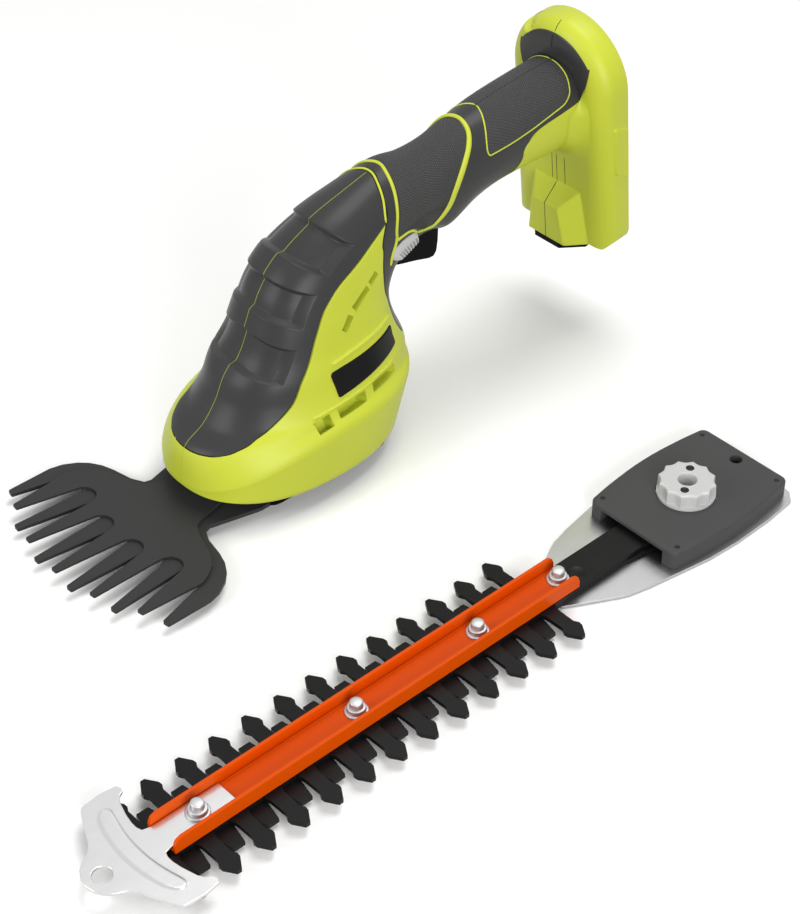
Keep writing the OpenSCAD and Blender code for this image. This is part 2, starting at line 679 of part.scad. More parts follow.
// Block across the handle that carries the battery contacts
block_u = 16.3;
block_t = 4;
contact = [8, 0.8, 12];
contact_y = [-6, 0, 6];
module at_block() {
    s = station(block_u);
    translate([(s[0] + s[2]) / 2, 0, (s[1] + s[3]) / 2]) rotate([0, -90 + foot_tilt, 0]) children();
}
module terminal_block() {
    s = station(block_u);
    sunk = skin_t + wall + loose_gap;
    color("#202020") at_block() linear_extrude(block_t)
        polygon(rounded_outline((s[1] - s[3]) / 2 - sunk, s[4] - sunk, 2.3));
}
module terminals() {
    color("goldenrod") at_block() for (y = contact_y)
        translate([-contact[0] / 2, y - contact[1] / 2, block_t]) cube(contact);
}
// Wire swept along a run of points, with eight sides
lead_r = 1.1;
function lead_ring(at, way) =
    let (w = way / norm(way), a = cross(w, [0, 1, 0]), b = a / norm(a), c = cross(w, b))
    [for (i = [0:7]) at + lead_r * (b * cos(45 * i) + c * sin(45 * i))];
module lead(route) {
    last = len(route) - 1;
    rings = [for (i = [0:last]) lead_ring(route[i], route[min(i + 1, last)] - route[max(i - 1, 0)])];
    sides = [for (i = [0:last - 1], k = [0:7]) let (a = 8 * i + k, d = 8 * i + (k + 1) % 8)
        each [[a, a + 8, d + 8], [a, d + 8, d]]];
    ends = [[for (k = [0:7]) k], [for (k = [7:-1:0]) 8 * last + k]];
    polyhedron([for (r = rings) each r], concat(sides, ends));
}
module battery_leads() {
    start = switch_at[0] - 0.1;
    z = switch_at[1] + 9;
    color("firebrick") for (y = [-4, 4])
        lead([[start, y, z], [start - 2.5, y, z], [start - 6, y, z + 2.5], [start - 9.3, y, z + 3.5]]);
}
module motor_leads() {
    top = motor_z + motor_l - motor_cap_h;
    start = motor_x - 12;
    end = switch_at[0] + switch_box[0] + 0.1;
    z = switch_at[1] + 8;
    color("firebrick") for (side = [-1, 1])
        lead([[start, 6 * side, top + 0.1], [start, 6 * side, top + 4], [start - 4, 6 * side, top + 8],
              [-90, 5 * side, z - 1], [-110, 4 * side, z + 2], [end + 4, 4 * side, z], [end, 4 * side, z]]);
}

// Grass cutting head
cassette_front = drive_x + cover_front;
cassette_rear = drive_x - cover_rear;
corner_r = 6;
module cassette_plan(inset) {
    hull() for (x = [cassette_rear + corner_r, cassette_front - corner_r], y = [-1, 1])
        translate([x, y * (cassette_half_w - corner_r)]) circle(corner_r - inset);
}
nut_r = bolt_r + 2.4;
nut_h = 2.4;
bolt_head_h = 2.4;
bolt_head_r = bolt_r + 2.5;
base_nose_r = 14;
cassette_screw_r = 1.5;
cassette_screw_head_r = 3;
cassette_screw_bite = 2.4;
cassette_post_r = 4;
cassette_sink = 4;
cassette_screw_x = cassette_rear + 8;
cassette_screw_y = cassette_half_w - 8;
module at_cassette_screws() {
    for (y = [-1, 1]) translate([cassette_screw_x, y * cassette_screw_y, 0]) children();
}
module cassette_base() {
    color("#202020") difference() {
        linear_extrude(base_t) hull() {
            cassette_plan(0);
            translate([4, 0]) circle(base_nose_r);
        }
        translate([0, 0, base_t - nut_h - 0.1]) cylinder(r = nut_r + 0.2, h = nut_h + 1, $fn = 6);
        at_cassette_screws() translate([0, 0, base_t - cassette_screw_bite - 0.1])
            cylinder(r = cassette_screw_r + press_gap, h = base_t);
    }
}
module cassette_cover() {
    mouth_half = cassette_half_w - cover_wall - 1;
    mouth_h = upper_top - base_t + bolt_head_h + 1.8;
    color("#2c2c2c") difference() {
        translate([0, 0, base_t]) linear_extrude(dock_z - base_t) cassette_plan(0);
        difference() {
            translate([0, 0, base_t - 1]) linear_extrude(dock_z - base_t - cover_wall + 1)
                cassette_plan(cover_wall);
            at_cassette_screws() cylinder(r = cassette_post_r, h = dock_z);
            translate([catch_x, 0, 0]) cylinder(r = latch_boss_r, h = dock_z);
        }
        translate([cassette_front - 10, -mouth_half, base_t - 1]) cube([20, 2 * mouth_half, mouth_h]);
        translate([drive_x, 0, 0]) cylinder(r = knob_neck_r + slide_gap, h = dock_z + 1);
        translate([catch_x, 0, 0]) cylinder(r = latch_r, h = dock_z + 1);
        at_cassette_screws() {
            cylinder(r = cassette_screw_r + 0.2, h = dock_z + 1);
            translate([0, 0, dock_z - cassette_sink])
                cylinder(r = cassette_screw_head_r + 0.2, h = cassette_sink + 1);
        }
    }
}
module cassette_screw(side) {
    color("silver") translate([cassette_screw_x, side * cassette_screw_y, 0]) union() {
        translate([0, 0, base_t - cassette_screw_bite])
            cylinder(r = cassette_screw_r, h = dock_z - cassette_sink - base_t + cassette_screw_bite);
        translate([0, 0, dock_z - cassette_sink]) cylinder(r = cassette_screw_head_r, h = 2.5);
    }
}
// Outline of a row of teeth fanned about the bolt, with rounded gaps between them
function polar(r, a) = r * [cos(a), sin(a)];
tip_shape = [[-0.5, -1], [0, -0.7], [0, 0.7], [-0.5, 1]];
tooth_lean = 0.3;
function fan_row(n, tip_r) = [for (i = [0:n - 1])
    let (a = (i - (n - 1) / 2) * tooth_pitch, out = polar(1, tooth_lean * a),
         across = polar(1, tooth_lean * a + 90), mid = a + tooth_pitch / 2, way = tooth_lean * mid,
         centre = polar(tip_r, mid) - polar(tip_r - gullet_r - gap_r, way))
    each concat([for (p = tip_shape) polar(tip_r, a) + p[0] * out + p[1] * tip_half * across],
                i < n - 1 ? [for (t = [90:-15:-90]) centre - polar(gap_r, way + t)] : [])];
function mirrored(points) = [for (p = points) [p[0], -p[1]]];
function fan_outline(side, teeth) = concat(mirrored(side), teeth, reversed(side));
tip_half = 1.75;
gap_r = 6;
cassette_tail = cassette_half_w - cover_wall - 3;
module lower_blade() {
    side = [[cassette_rear + 12, cassette_tail], [-2, cassette_tail], [-1, 27], [4, 27],
            [16, 24], [28, 21], [31, 22], [34, 28], [36, 38],
            [38, 44], [41, 49], [45, 53], [51, 56.5], [57, 58]];
    color("#33363a") translate([0, 0, base_t]) linear_extrude(lower_blade_t) difference() {
        polygon(fan_outline(side, fan_row(upper_teeth + 1, lower_tip_r)));
        circle(bolt_r + run_gap);
        for (y = [-1, 1]) translate([cassette_screw_x, y * cassette_screw_y]) circle(cassette_post_r + 0.6);
    }
}
tail_half_w = 16;
window_half_w = crank_pin_r + 2 * crank_r + 0.6;
window_half_l = crank_pin_r + crank_r + 1.6;
module upper_blade() {
    side = [[drive_x - window_half_l - 4, tail_half_w], [drive_x + window_half_l + 3, tail_half_w],
            [-6, 10], [10, 12], [29, 16.5], [33, 19], [36, 24.5],
            [38, 31], [40, 37], [44, 43], [49, 46.7], [54, 48.8], [57, 48.6]];
    color("#3b3e42") translate([0, 0, upper_bottom]) linear_extrude(upper_blade_t) difference() {
        polygon(fan_outline(side, fan_row(upper_teeth, upper_tip_r)));
        circle(bolt_r + run_gap);
        translate([drive_x, 0]) square([2 * window_half_l, 2 * window_half_w], center = true);
    }
}
module pivot_bolt() {
    color("silver") union() {
        translate([0, 0, base_t - nut_h]) cylinder(r = bolt_r, h = upper_top + 0.1 - base_t + nut_h);
        translate([0, 0, upper_top + 0.1]) cylinder(r = bolt_head_r, h = bolt_head_h);
    }
}
module pivot_nut() {
    color("silver") translate([0, 0, base_t - nut_h]) difference() {
        cylinder(r = nut_r, h = nut_h - 0.05, $fn = 6);
        translate([0, 0, -1]) cylinder(r = bolt_r + press_gap, h = nut_h + 2);
    }
}

// Shrub attachment
module at_hedge() { translate([0, hedge_y, 0]) children(); }
// Outline whose other half mirrors the points given
function whole_outline(side) = concat(side, reversed(mirrored(side)));
hedge_screw_y = 21.8;
hedge_screw_spots = [for (x = [hedge_rear + 2.5, hedge_front - 3], side = [-1, 1]) [x, side * hedge_screw_y]];
hedge_screw_r = 1;
hedge_post_r = 3;
hedge_mouth = hedge_screw_y - hedge_post_r - 0.3;
module at_hedge_screws() { for (p = hedge_screw_spots) translate([p[0], p[1], 0]) children(); }
module hedge_base_plate() {
    color("silver") at_hedge() linear_extrude(hedge_base_t) difference() {
        polygon(whole_outline([[rail_start + 10, rail_half_w], [rail_start + 3.2, 12.2],
            [rail_start - 4.6, 16.4], [rail_start - 12.4, 20.6], [rail_start - 16.6, 22.4],
            [hedge_front + 16.5, 24.7], [hedge_front + 0.5, 27.4], [hedge_front - 15.7, 30.1],
            [hedge_drive_x, 31.2], [hedge_drive_x - 21, 30.8],
            [hedge_rear, 29.2], [hedge_rear - 4, 25], [hedge_rear - 5, 18]]));
        translate([hedge_bolts[0], 0]) circle(hedge_bolt_r + press_gap);
        for (p = hedge_screw_spots) translate(p) circle(hedge_screw_r + press_gap);
    }
}
hedge_barrel = 2.8;
function hedge_side(inset) =
    let (mid = (hedge_front + hedge_rear) / 2, half = (hedge_front - hedge_rear) / 2 - corner_r,
         r = corner_r - inset, y = cassette_half_w - corner_r)
    concat([for (t = [0:15:90]) [mid + half, y] + polar(r, t)],
           [for (k = [0.8:-0.2:-0.8]) [mid + k * half, y + r + hedge_barrel * (1 - k * k)]],
           [for (t = [90:15:180]) [mid - half, y] + polar(r, t)]);
module hedge_plan(inset) { polygon(whole_outline(hedge_side(inset))); }
module hedge_cover() {
    color("#2c2c2c") at_hedge() difference() {
        translate([0, 0, hedge_base_t]) linear_extrude(hedge_cover_z - hedge_base_t) hedge_plan(0);
        difference() {
            translate([0, 0, hedge_base_t - 1])
                linear_extrude(hedge_cover_z - hedge_base_t - cover_wall + 1) hedge_plan(cover_wall);
            at_hedge_screws() cylinder(r = hedge_post_r, h = hedge_cover_z);
            translate([hedge_drive_x - latch_reach, 0, 0]) cylinder(r = latch_boss_r, h = hedge_cover_z);
        }
        translate([hedge_front - 12, -hedge_mouth, 0])
            cube([20, 2 * hedge_mouth, hedge_cover_z - cover_wall]);
        translate([hedge_drive_x, 0, 0]) cylinder(r = knob_neck_r + slide_gap, h = 2 * hedge_cover_z);
        translate([hedge_drive_x - latch_reach, 0, 0]) cylinder(r = latch_r, h = 2 * hedge_cover_z);
        at_hedge_screws() cylinder(r = hedge_screw_r + press_gap, h = 2 * hedge_cover_z);
    }
}
module hedge_cover_screw(i) {
    p = hedge_screw_spots[i];
    color("#181818") at_hedge() translate([p[0], p[1], 0.2]) cylinder(r = hedge_screw_r, h = hedge_cover_z);
}
function hedge_tooth_x(i) = hedge_first + i * hedge_pitch;
comb_rear = hedge_front - 7;
function tooth_row(shape, count, shift) =
    [for (i = [0:count - 1], p = shape) [p[0] + hedge_tooth_x(i) + shift, p[1]]];
arrow_side = [[4.6, rail_half_w], [3.4, rail_half_w + 3], [3.2, comb_reach - 9], [4.4, comb_reach - 6.8],
              [4.2, comb_reach - 4.9], [1, comb_reach]];
arrow_tooth = concat([for (p = arrow_side) [-p[0], p[1]]], reversed(arrow_side));
module hedge_comb() {
    side = concat([[comb_rear, rail_half_w]], tooth_row(arrow_tooth, hedge_teeth, 0));
    color("#34373b") at_hedge() translate([0, 0, hedge_comb_z]) linear_extrude(hedge_blade_t) difference() {
        polygon(whole_outline(side));
        for (x = hedge_bolts) translate([x, 0]) circle(hedge_bolt_r + press_gap);
    }
}
cutter_tail_half = cutter_travel + crank_pin_r + 6;
cutter_window_l = crank_pin_r + crank_r + cutter_travel + 0.8;
cutter_window_w = crank_pin_r + crank_r + 0.6;
cutter_tooth = [[-5, rail_half_w], [-2.8, cutter_reach], [2.8, cutter_reach], [5, rail_half_w]];
module hedge_cutter() {
    side = concat([[hedge_drive_x - cutter_window_l - 3, cutter_tail_half],
                   [hedge_drive_x + cutter_window_l + 3, cutter_tail_half], [rail_start - 28, rail_half_w]],
                  tooth_row(cutter_tooth, hedge_teeth - 1, hedge_pitch / 2));
    color("#34373b") at_hedge() translate([0, 0, hedge_cutter_z])
        linear_extrude(hedge_blade_t) difference() {
            polygon(whole_outline(side));
            translate([hedge_drive_x, 0]) square([2 * cutter_window_l, 2 * cutter_window_w], center = true);
            for (x = hedge_bolts) hull() for (d = [-1, 1])
                translate([x + d * (cutter_travel + 0.6), 0]) circle(hedge_bolt_r + slide_gap);
        }
}
rail_corner = 3.5;
rail_ease = rail_corner * 0.3;
module hedge_rail() {
    l = rail_end - rail_start;
    color("darkorange") at_hedge() difference() {
        translate([rail_start, rail_half_w, rail_z]) rotate([90, 0, 0]) linear_extrude(2 * rail_half_w)
            polygon([[0, 0], [l, 0], [l, rail_h - rail_corner], [l - rail_ease, rail_h - rail_ease],
                     [l - rail_corner, rail_h], [rail_corner, rail_h], [rail_ease, rail_h - rail_ease],
                     [0, rail_h - rail_corner]]);
        translate([rail_start - 1, rail_t - rail_half_w, rail_z + rail_t])
            cube([l + 2, 2 * (rail_half_w - rail_t), rail_h]);
        for (x = hedge_bolts) translate([x, 0, 0]) cylinder(r = hedge_bolt_r + press_gap, h = 20);
    }
}
guard_tongue = rail_half_w - rail_t - 0.4;
// Half outline of the guard's head, measured from the rail's end
guard_head = [[0.5, guard_tongue], [3.4, guard_tongue + 0.8], [4.1, 9.5], [4.1, 12.5], [3.3, 17], [1.4, 23.5],
              [-0.5, 26.4], [-2.7, 27.4], [-3.2, 29.5], [-2.3, 31.3], [4.2, 32.2], [11.3, 31.7], [13.7, 31.2],
              [15.1, 29.6], [17.6, 25.1], [20.2, 19.5], [22, 15.5], [24.2, 12.7], [26.5, 11.2],
              [guard_end - rail_end - 5.2, 9.7], [guard_end - rail_end - 2.6, 7.4],
              [guard_end - rail_end - 0.7, 4.2], [guard_end - rail_end, 1]];
module hedge_tip_guard() {
    color("silver") at_hedge() difference() {
        translate([0, 0, guard_z]) linear_extrude(guard_t) polygon(whole_outline(
            concat([[guard_start, guard_tongue]], [for (p = guard_head) p + [rail_end, 0]])));
        translate([hang_hole_x, 0, 0]) cylinder(r = hang_hole_r, h = 30);
        translate([hedge_bolts[3], 0, 0]) cylinder(r = hedge_bolt_r + press_gap, h = 30);
    }
}
// Bolts stand on the ground under the blades and hold the rail down
washer_r = 5;
washer_t = 1;
hedge_head_r = 3.8;
hedge_head_h = 2.2;
module hedge_bolt(i) {
    seat = rail_z + rail_t + (i == 3 ? guard_t : 0);
    foot_z = i == 0 ? 0.1 : 0;
    color("#55585c") at_hedge() translate([hedge_bolts[i], 0, 0]) union() {
        translate([0, 0, foot_z]) cylinder(r = hedge_bolt_r, h = seat - foot_z);
        translate([0, 0, seat]) cylinder(r = washer_r, h = washer_t);
        translate([0, 0, seat + washer_t]) cylinder(r = hedge_head_r, h = hedge_head_h);
    }
}
knob_screw_spots = [[6.5, 4.2], [-6.5, -4.2]];
knob_screw_r = 1.2;
knob_screw_head_r = 2;
knob_screw_sink = 2;
knob_screw_bottom = hedge_disc_z + 0.2;
hedge_knob_top = hedge_cover_z + hedge_knob_h;
module at_hedge_drive() { at_hedge() translate([hedge_drive_x, 0, 0]) children(); }
module at_knob_screws() { for (p = knob_screw_spots) translate([p[0], p[1], 0]) children(); }
module hedge_knob() {
    color("lightgray") at_hedge_drive() difference() {
        knob(hedge_disc_z + crank_disc_t, hedge_cover_z + 1, hedge_knob_h - 1);
        at_knob_screws() {
            cylinder(r = knob_screw_r + press_gap, h = hedge_knob_top);
            translate([0, 0, hedge_knob_top - knob_screw_sink])
                cylinder(r = knob_screw_head_r + 0.1, h = knob_screw_sink + 1);
        }
    }
}
module hedge_crank() {
    color("gray") at_hedge_drive() difference() {
        crank(hedge_cutter_z + 0.3, hedge_disc_z);
        at_knob_screws() translate([0, 0, knob_screw_bottom - 0.1])
            cylinder(r = knob_screw_r + press_gap, h = hedge_cover_z);
    }
}
module hedge_knob_screws() {
    seat = hedge_knob_top - knob_screw_sink;
    color("silver") at_hedge_drive() at_knob_screws() union() {
        translate([0, 0, knob_screw_bottom]) cylinder(r = knob_screw_r, h = seat - knob_screw_bottom);
        translate([0, 0, seat]) cylinder(r = knob_screw_head_r, h = 1.2);
    }
}

left_housing();
right_housing();
left_nose_cover();
right_nose_cover();
left_grip();
right_grip();
foot_pad();
docking_plate();
gear_frame();
upper_gear_plate();
motor_can();
trigger_pin();
main_switch();
terminal_block();
terminals();
battery_leads();
motor_leads();
for (i = [1:4]) housing_screw(i - 1);
motor_shaft();
motor_pinion();
intermediate_shaft();
intermediate_gear();
intermediate_pinion();
output_shaft();
output_gear();
drive_socket();
drive_knob();
trigger();
lock_off_button();
release_catch();
cassette_base();
cassette_cover();
lower_blade();
upper_blade();
pivot_bolt();
pivot_nut();
for (i = [1:2]) cassette_screw(2 * i - 3);
hedge_base_plate();
hedge_cover();
hedge_comb();
hedge_cutter();
hedge_rail();
hedge_tip_guard();
hedge_knob();
hedge_crank();
hedge_knob_screws();
for (i = [1:4]) hedge_bolt(i - 1);
for (i = [1:4]) hedge_cover_screw(i - 1);
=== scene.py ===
import math

import bpy
import numpy as np
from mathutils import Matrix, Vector


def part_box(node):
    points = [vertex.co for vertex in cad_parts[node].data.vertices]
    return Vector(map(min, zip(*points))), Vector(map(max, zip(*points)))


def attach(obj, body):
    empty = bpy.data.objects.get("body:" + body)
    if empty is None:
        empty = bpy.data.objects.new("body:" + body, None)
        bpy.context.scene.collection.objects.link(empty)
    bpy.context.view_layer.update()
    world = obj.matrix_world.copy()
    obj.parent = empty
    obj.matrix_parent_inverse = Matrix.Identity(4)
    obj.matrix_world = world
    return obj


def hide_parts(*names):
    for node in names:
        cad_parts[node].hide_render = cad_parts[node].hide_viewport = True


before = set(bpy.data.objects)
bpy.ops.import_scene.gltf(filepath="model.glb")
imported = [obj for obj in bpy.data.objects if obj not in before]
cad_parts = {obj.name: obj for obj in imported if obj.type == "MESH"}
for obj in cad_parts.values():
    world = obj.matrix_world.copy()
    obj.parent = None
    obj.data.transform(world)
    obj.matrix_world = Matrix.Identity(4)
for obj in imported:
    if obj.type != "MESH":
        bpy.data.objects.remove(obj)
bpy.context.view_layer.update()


# Studio table: a plain white board that the tool stands on and its loose blade lies on, under three large
# soft lamps and an even white room, seen from the photograph's place.
def linear(colour):
    """Linear RGBA of an sRGB hex colour."""
    v = np.array([int(colour[i:i + 2], 16) for i in (1, 3, 5)]) / 255
    return (*np.where(v > 0.04045, ((v + 0.055) / 1.055) ** 2.4, v / 12.92), 1.0)


def add(tree, kind, values={}, links={}):
    """Adds one node, sets its properties and input values by name, and links its inputs."""
    node = tree.nodes.new(kind)
    for key, value in values.items():
        if isinstance(key, str) and hasattr(node, key):
            setattr(node, key, value)
        else:
            node.inputs[key].default_value = value
    for key, socket in links.items():
        tree.links.new(socket, node.inputs[key])
    return node


def worked(tree, operation, *terms):
    """Output of one math node, whose terms are numbers or sockets."""
    node = add(tree, "ShaderNodeMath", {"operation": operation})
    for term, socket in zip(terms, node.inputs):
        if isinstance(term, float):
            socket.default_value = term
        else:
            tree.links.new(term, socket)
    return node.outputs[0]


def seen_straight(tree):
    """1 for rays that see the room, from the camera, a mirror or glass, and 0 for those that light."""
    rays = add(tree, "ShaderNodeLightPath").outputs
    bent = worked(tree, "MAXIMUM", rays["Is Glossy Ray"], rays["Is Transmission Ray"])
    return worked(tree, "MAXIMUM", rays["Is Camera Ray"], bent)


scene = bpy.context.scene
scene.view_settings.view_transform = "Standard"
world = bpy.data.worlds.new("white_room")
world.use_nodes = True
world.node_tree.nodes.clear()
room_light, room_white = 0.32, 1.0
lit = add(world.node_tree, "ShaderNodeMapRange", {"To Min": room_light, "To Max": room_white},
          {"Value": seen_straight(world.node_tree)})
sky = add(world.node_tree, "ShaderNodeBackground", {"Color": (1, 1, 1, 1)}, {"Strength": lit.outputs[0]})
add(world.node_tree, "ShaderNodeOutputWorld", {}, {"Surface": sky.outputs[0]})
scene.world = world


def material(name):
    """New material, its node tree and its shader."""
    made = bpy.data.materials.new(name)
    made.use_nodes = True
    return made, made.node_tree, made.node_tree.nodes["Principled BSDF"]


# Matt board: white to the eye, and grey in the light that it throws back.
paper, tree, shader = material("white_matt_board")
shader.inputs["Roughness"].default_value = 0.9
tone = add(tree, "ShaderNodeMix", {"data_type": "RGBA", 6: linear("#868685"), 7: linear("#fdfdfc")},
           {0: seen_straight(tree)})
tree.links.new(tone.outputs[2], shader.inputs["Base Color"])
far, low = 6, -2e-4
board = bpy.data.meshes.new("floor")
board.from_pydata([(-far, -far, low), (far, -far, low), (far, far, low), (-far, far, low)], [],
                  [(0, 1, 2, 3)])
board.materials.append(paper)
floor = bpy.data.objects.new("floor", board)
scene.collection.objects.link(floor)

lamp_aim = Vector((-0.03, 0.05, 0.05))
for name, place, width, power in (
        ("key", (-0.45, -0.05, 1.3), 0.75, 10), ("fill", (0.5, 1.4, 0.55), 0.9, 19),
        ("front", (1.15, -0.35, 0.7), 0.7, 8)):
    lamp = bpy.data.lights.new(name, "AREA")
    lamp.size, lamp.energy = width, power
    lamp_object = bpy.data.objects.new(name, lamp)
    lamp_object.location = place
    lamp_object.rotation_mode = "QUATERNION"
    lamp_object.rotation_quaternion = (lamp_aim - Vector(place)).to_track_quat("-Z", "Y")
    scene.collection.objects.link(lamp_object)

eye = bpy.data.cameras.new("photo_view")
eye.lens, eye.sensor_width = 84.39, 36
eye.clip_start, eye.clip_end = 0.05, 20
camera = bpy.data.objects.new("photo_view", eye)
camera.location = (0.43944, 0.59374, 0.62075)
azimuth, elevation = math.radians(137.571), math.radians(39.445)
back = Vector((math.sin(azimuth) * math.cos(elevation), -math.cos(azimuth) * math.cos(elevation),
               math.sin(elevation)))
camera.rotation_mode = "QUATERNION"
camera.rotation_quaternion = (-back).to_track_quat("-Z", "Y")
scene.collection.objects.link(camera)
scene.camera = camera


# Main shell: two moulded halves in bright yellow-green ABS, with a fine spark-eroded grain, screwed
# together on the middle plane. The body and the handle are one bent loft.
# A section: x and z of its top, x and z of its bottom, half width, power of its curve and arch, in mm.
sections = np.array([
    (26.6, 15.5, -87, 9, 38, 2.4, -2), (26.6, 18, -96, 34, 39.5, 2.35, 8),
    (23.4, 34.5, -97.5, 41, 35.5, 2.15, 3.5), (12.5, 42, -96.5, 47, 33.5, 2.2, 2),
    (5.1, 51, -93.5, 53.5, 31.5, 2.35, 0.5), (0, 61, -90, 60.5, 29.5, 2.5, 0),
    (-8, 71, -87.5, 67, 27.5, 2.6, 0), (-14.5, 85, -86.5, 72, 26, 2.6, 0),
    (-20, 97, -87, 76, 24.5, 2.6, 0), (-31, 109, -88.5, 79.5, 23, 2.6, 0),
    (-50, 119.3, -91.5, 83, 21, 2.5, 0), (-70, 125.3, -97, 86, 19, 2.4, 0),
    (-92, 130.5, -107, 87.5, 16.5, 2.25, 0), (-107, 129.3, -116, 86.5, 15, 2.2, 0),
    (-122, 130.5, -126, 84.5, 15, 2.2, 0), (-138, 134.3, -140, 92, 15.6, 2.25, 0),
    (-155, 137.5, -153.5, 96, 16.2, 2.35, 0), (-175, 140, -173, 97, 16.5, 2.4, 0),
    (-201, 142.2, -205.5, 97, 17.5, 2.4, 0)])
last_section = len(sections) - 1


def bare(u, deg):
    """Loft point in mm. Sections run straight from 0 to 1 and on Catmull-Rom curves after that; a section
    is the superellipse |k|^n + |y/w|^n = 1 on its chord, which arches by b (1 - k^2)(1 + k/2)."""
    u, deg = np.broadcast_arrays(np.clip(np.asarray(u, float), 0, last_section), np.asarray(deg, float))
    i = np.minimum(u.astype(int), last_section - 1)
    t = (u - i)[..., None]
    a, b, c, d = (sections[np.clip(i + k, 0, last_section)] for k in (-1, 0, 1, 2))
    curve = b + t / 2 * (c - a + t * (2 * a - 5 * b + 4 * c - d + t * (3 * (b - c) + d - a)))
    xt, zt, xb, zb, w, n, bulge = np.moveaxis(np.where((i == 0)[..., None], b + (c - b) * t, curve), -1, 0)
    cos, sin = np.cos(np.radians(deg)), np.sin(np.radians(deg))
    k = np.sign(cos) * np.abs(cos) ** (2 / n)
    hx, hz = (xt - xb) / 2, (zt - zb) / 2
    arch = bulge * (1 - k * k) * (1 + k / 2) / np.hypot(hx, hz)
    return np.stack([(xt + xb) / 2 + k * hx - arch * hz, w * np.sign(sin) * np.abs(sin) ** (2 / n),
                     (zt + zb) / 2 + k * hz + arch * hx], -1)


def unit(vectors):
    """Vectors brought to length 1."""
    return vectors / np.linalg.norm(vectors, axis=-1, keepdims=True)


def outward(u, deg):
    """Unit normal of the loft: the cross product of its steps round and along the body."""
    turn, run = 0.2, 0.01
    return unit(np.cross(bare(u, deg + turn) - bare(u, deg - turn), bare(u + run, deg) - bare(u - run, deg)))


def grid_faces(rows, cols, first=0, closed=False):
    """Four corner numbers of each square of a grid of points, row by row."""
    at = first + np.arange(rows * cols).reshape(rows, cols)
    at = np.concatenate([at, at[:, :1]], 1) if closed else at
    return np.stack([at[:-1, :-1], at[1:, :-1], at[1:, 1:], at[:-1, 1:]], -1).reshape(-1, 4)


def piece(name, points, finish, slot, body="tool", faces=None, closed=False, flip=False, uv=None, sharp=40):
    """Puts a grid of points in mm, or points and their faces, into a new object that rides on a body."""
    mesh = bpy.data.meshes.new(name)
    faces = grid_faces(*points.shape[:2], closed=closed) if faces is None else faces
    faces = faces[:, ::-1] if flip else faces
    mesh.from_pydata((points.reshape(-1, 3) / 1000).tolist(), [], faces.tolist())
    if uv is not None:
        layer = mesh.uv_layers.new(name="along_surface")
        corners = np.asarray(uv, np.float32).reshape(-1, 2)[faces.reshape(-1)]
        layer.uv.foreach_set("vector", corners.ravel())
    mesh.materials.append(finish)
    mesh.shade_smooth()
    mesh.set_sharp_from_angle(angle=math.radians(sharp))
    made = bpy.data.objects.new(name, mesh)
    scene.collection.objects.link(made)
    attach(made, body)
    return made


hands = (("left", 1), ("right", -1))


def both(name, points, finish, slot, body="tool", turned=False, **rest):
    """Makes a left piece and its mirror image on the right, and gives each one's side and object; turned
    is for a grid that runs the other way round."""
    return [(side_name, piece(f"{side_name}_{name}", points * (1, hand, 1), finish, slot, body,
                              flip=(hand > 0) != turned, **rest))
            for side_name, hand in hands]


def modify(made, name, kind, **values):
    """Puts a modifier on an object and sets its values."""
    modifier = made.modifiers.new(name, kind)
    for key, value in values.items():
        setattr(modifier, key, value)


def gone_along(points, axis=0):
    """Length gone along each row of points, from 0 at its start: the running sum of its steps."""
    steps = np.linalg.norm(np.diff(points, axis=axis), axis=-1)
    return np.insert(np.cumsum(steps, axis), 0, 0, axis)


# Depth in mm to which the rim of a panel goes into the body.
sunk = 1.3


def panel(u, deg, relief=0.0, rims=((1, 1), (1, 1)), ease=(0.6, 0.6)):
    """Points of a panel on the loft: a grid (u, deg) raised by relief in mm. Its rims (first and last row,
    first and last column) are turned in on quarter rounds of radius ease and end in a wall sunk into the
    body."""
    pads = [(int(a), int(b)) for a, b in rims]
    inner = np.shape(u)
    u, deg = np.pad(u, pads, mode="edge"), np.pad(deg, pads, mode="edge")
    relief = np.pad(np.broadcast_to(relief, inner), pads, mode="edge")
    flat, normal = bare(u, deg), outward(u, deg)
    turned = np.zeros(u.shape)
    for axis, radius in enumerate(ease):
        gone = gone_along(flat, axis)
        ends = [run for run, rim in zip((gone, gone.take([-1], axis) - gone), pads[axis]) if rim]
        near = np.clip(np.minimum.reduce(ends + [np.full(u.shape, radius)]) / radius, 0, 1)
        turned = np.maximum(turned, radius * (1 - np.sqrt(1 - (1 - near) ** 2)))
    down = np.pad(np.zeros(inner), pads, constant_values=sunk)
    return flat + normal * (relief - np.maximum(turned, down))[..., None]


def step(v, width):
    """Smooth step from 0 to 1 as v goes from 0 to width."""
    t = np.clip(v / width, 0, 1)
    return t * t * (3 - 2 * t)


def curve(at, places, values, even=False):
    """Smooth line through (place, value) pairs: cubic Hermite pieces, each slope the mean of its two chords
    weighted by the other's length; level at the first place where the line is even about it."""
    places, values = np.asarray(places, float), np.asarray(values, float)
    gap, rise = np.diff(places), np.diff(values) / np.diff(places)
    inner = (rise[:-1] * gap[1:] + rise[1:] * gap[:-1]) / (gap[:-1] + gap[1:])
    slope = np.concatenate([[0.0 if even else rise[0]], inner, [rise[-1]]])
    at = np.clip(at, places[0], places[-1])
    i = np.clip(np.searchsorted(places, at, side="right") - 1, 0, len(gap) - 1)
    t = (at - places[i]) / gap[i]
    return ((1 + 2 * t) * (1 - t) ** 2 * values[i] + t * (1 - t) ** 2 * gap[i] * slope[i]
            + t * t * (3 - 2 * t) * values[i + 1] - t * t * (1 - t) * gap[i] * slope[i + 1])


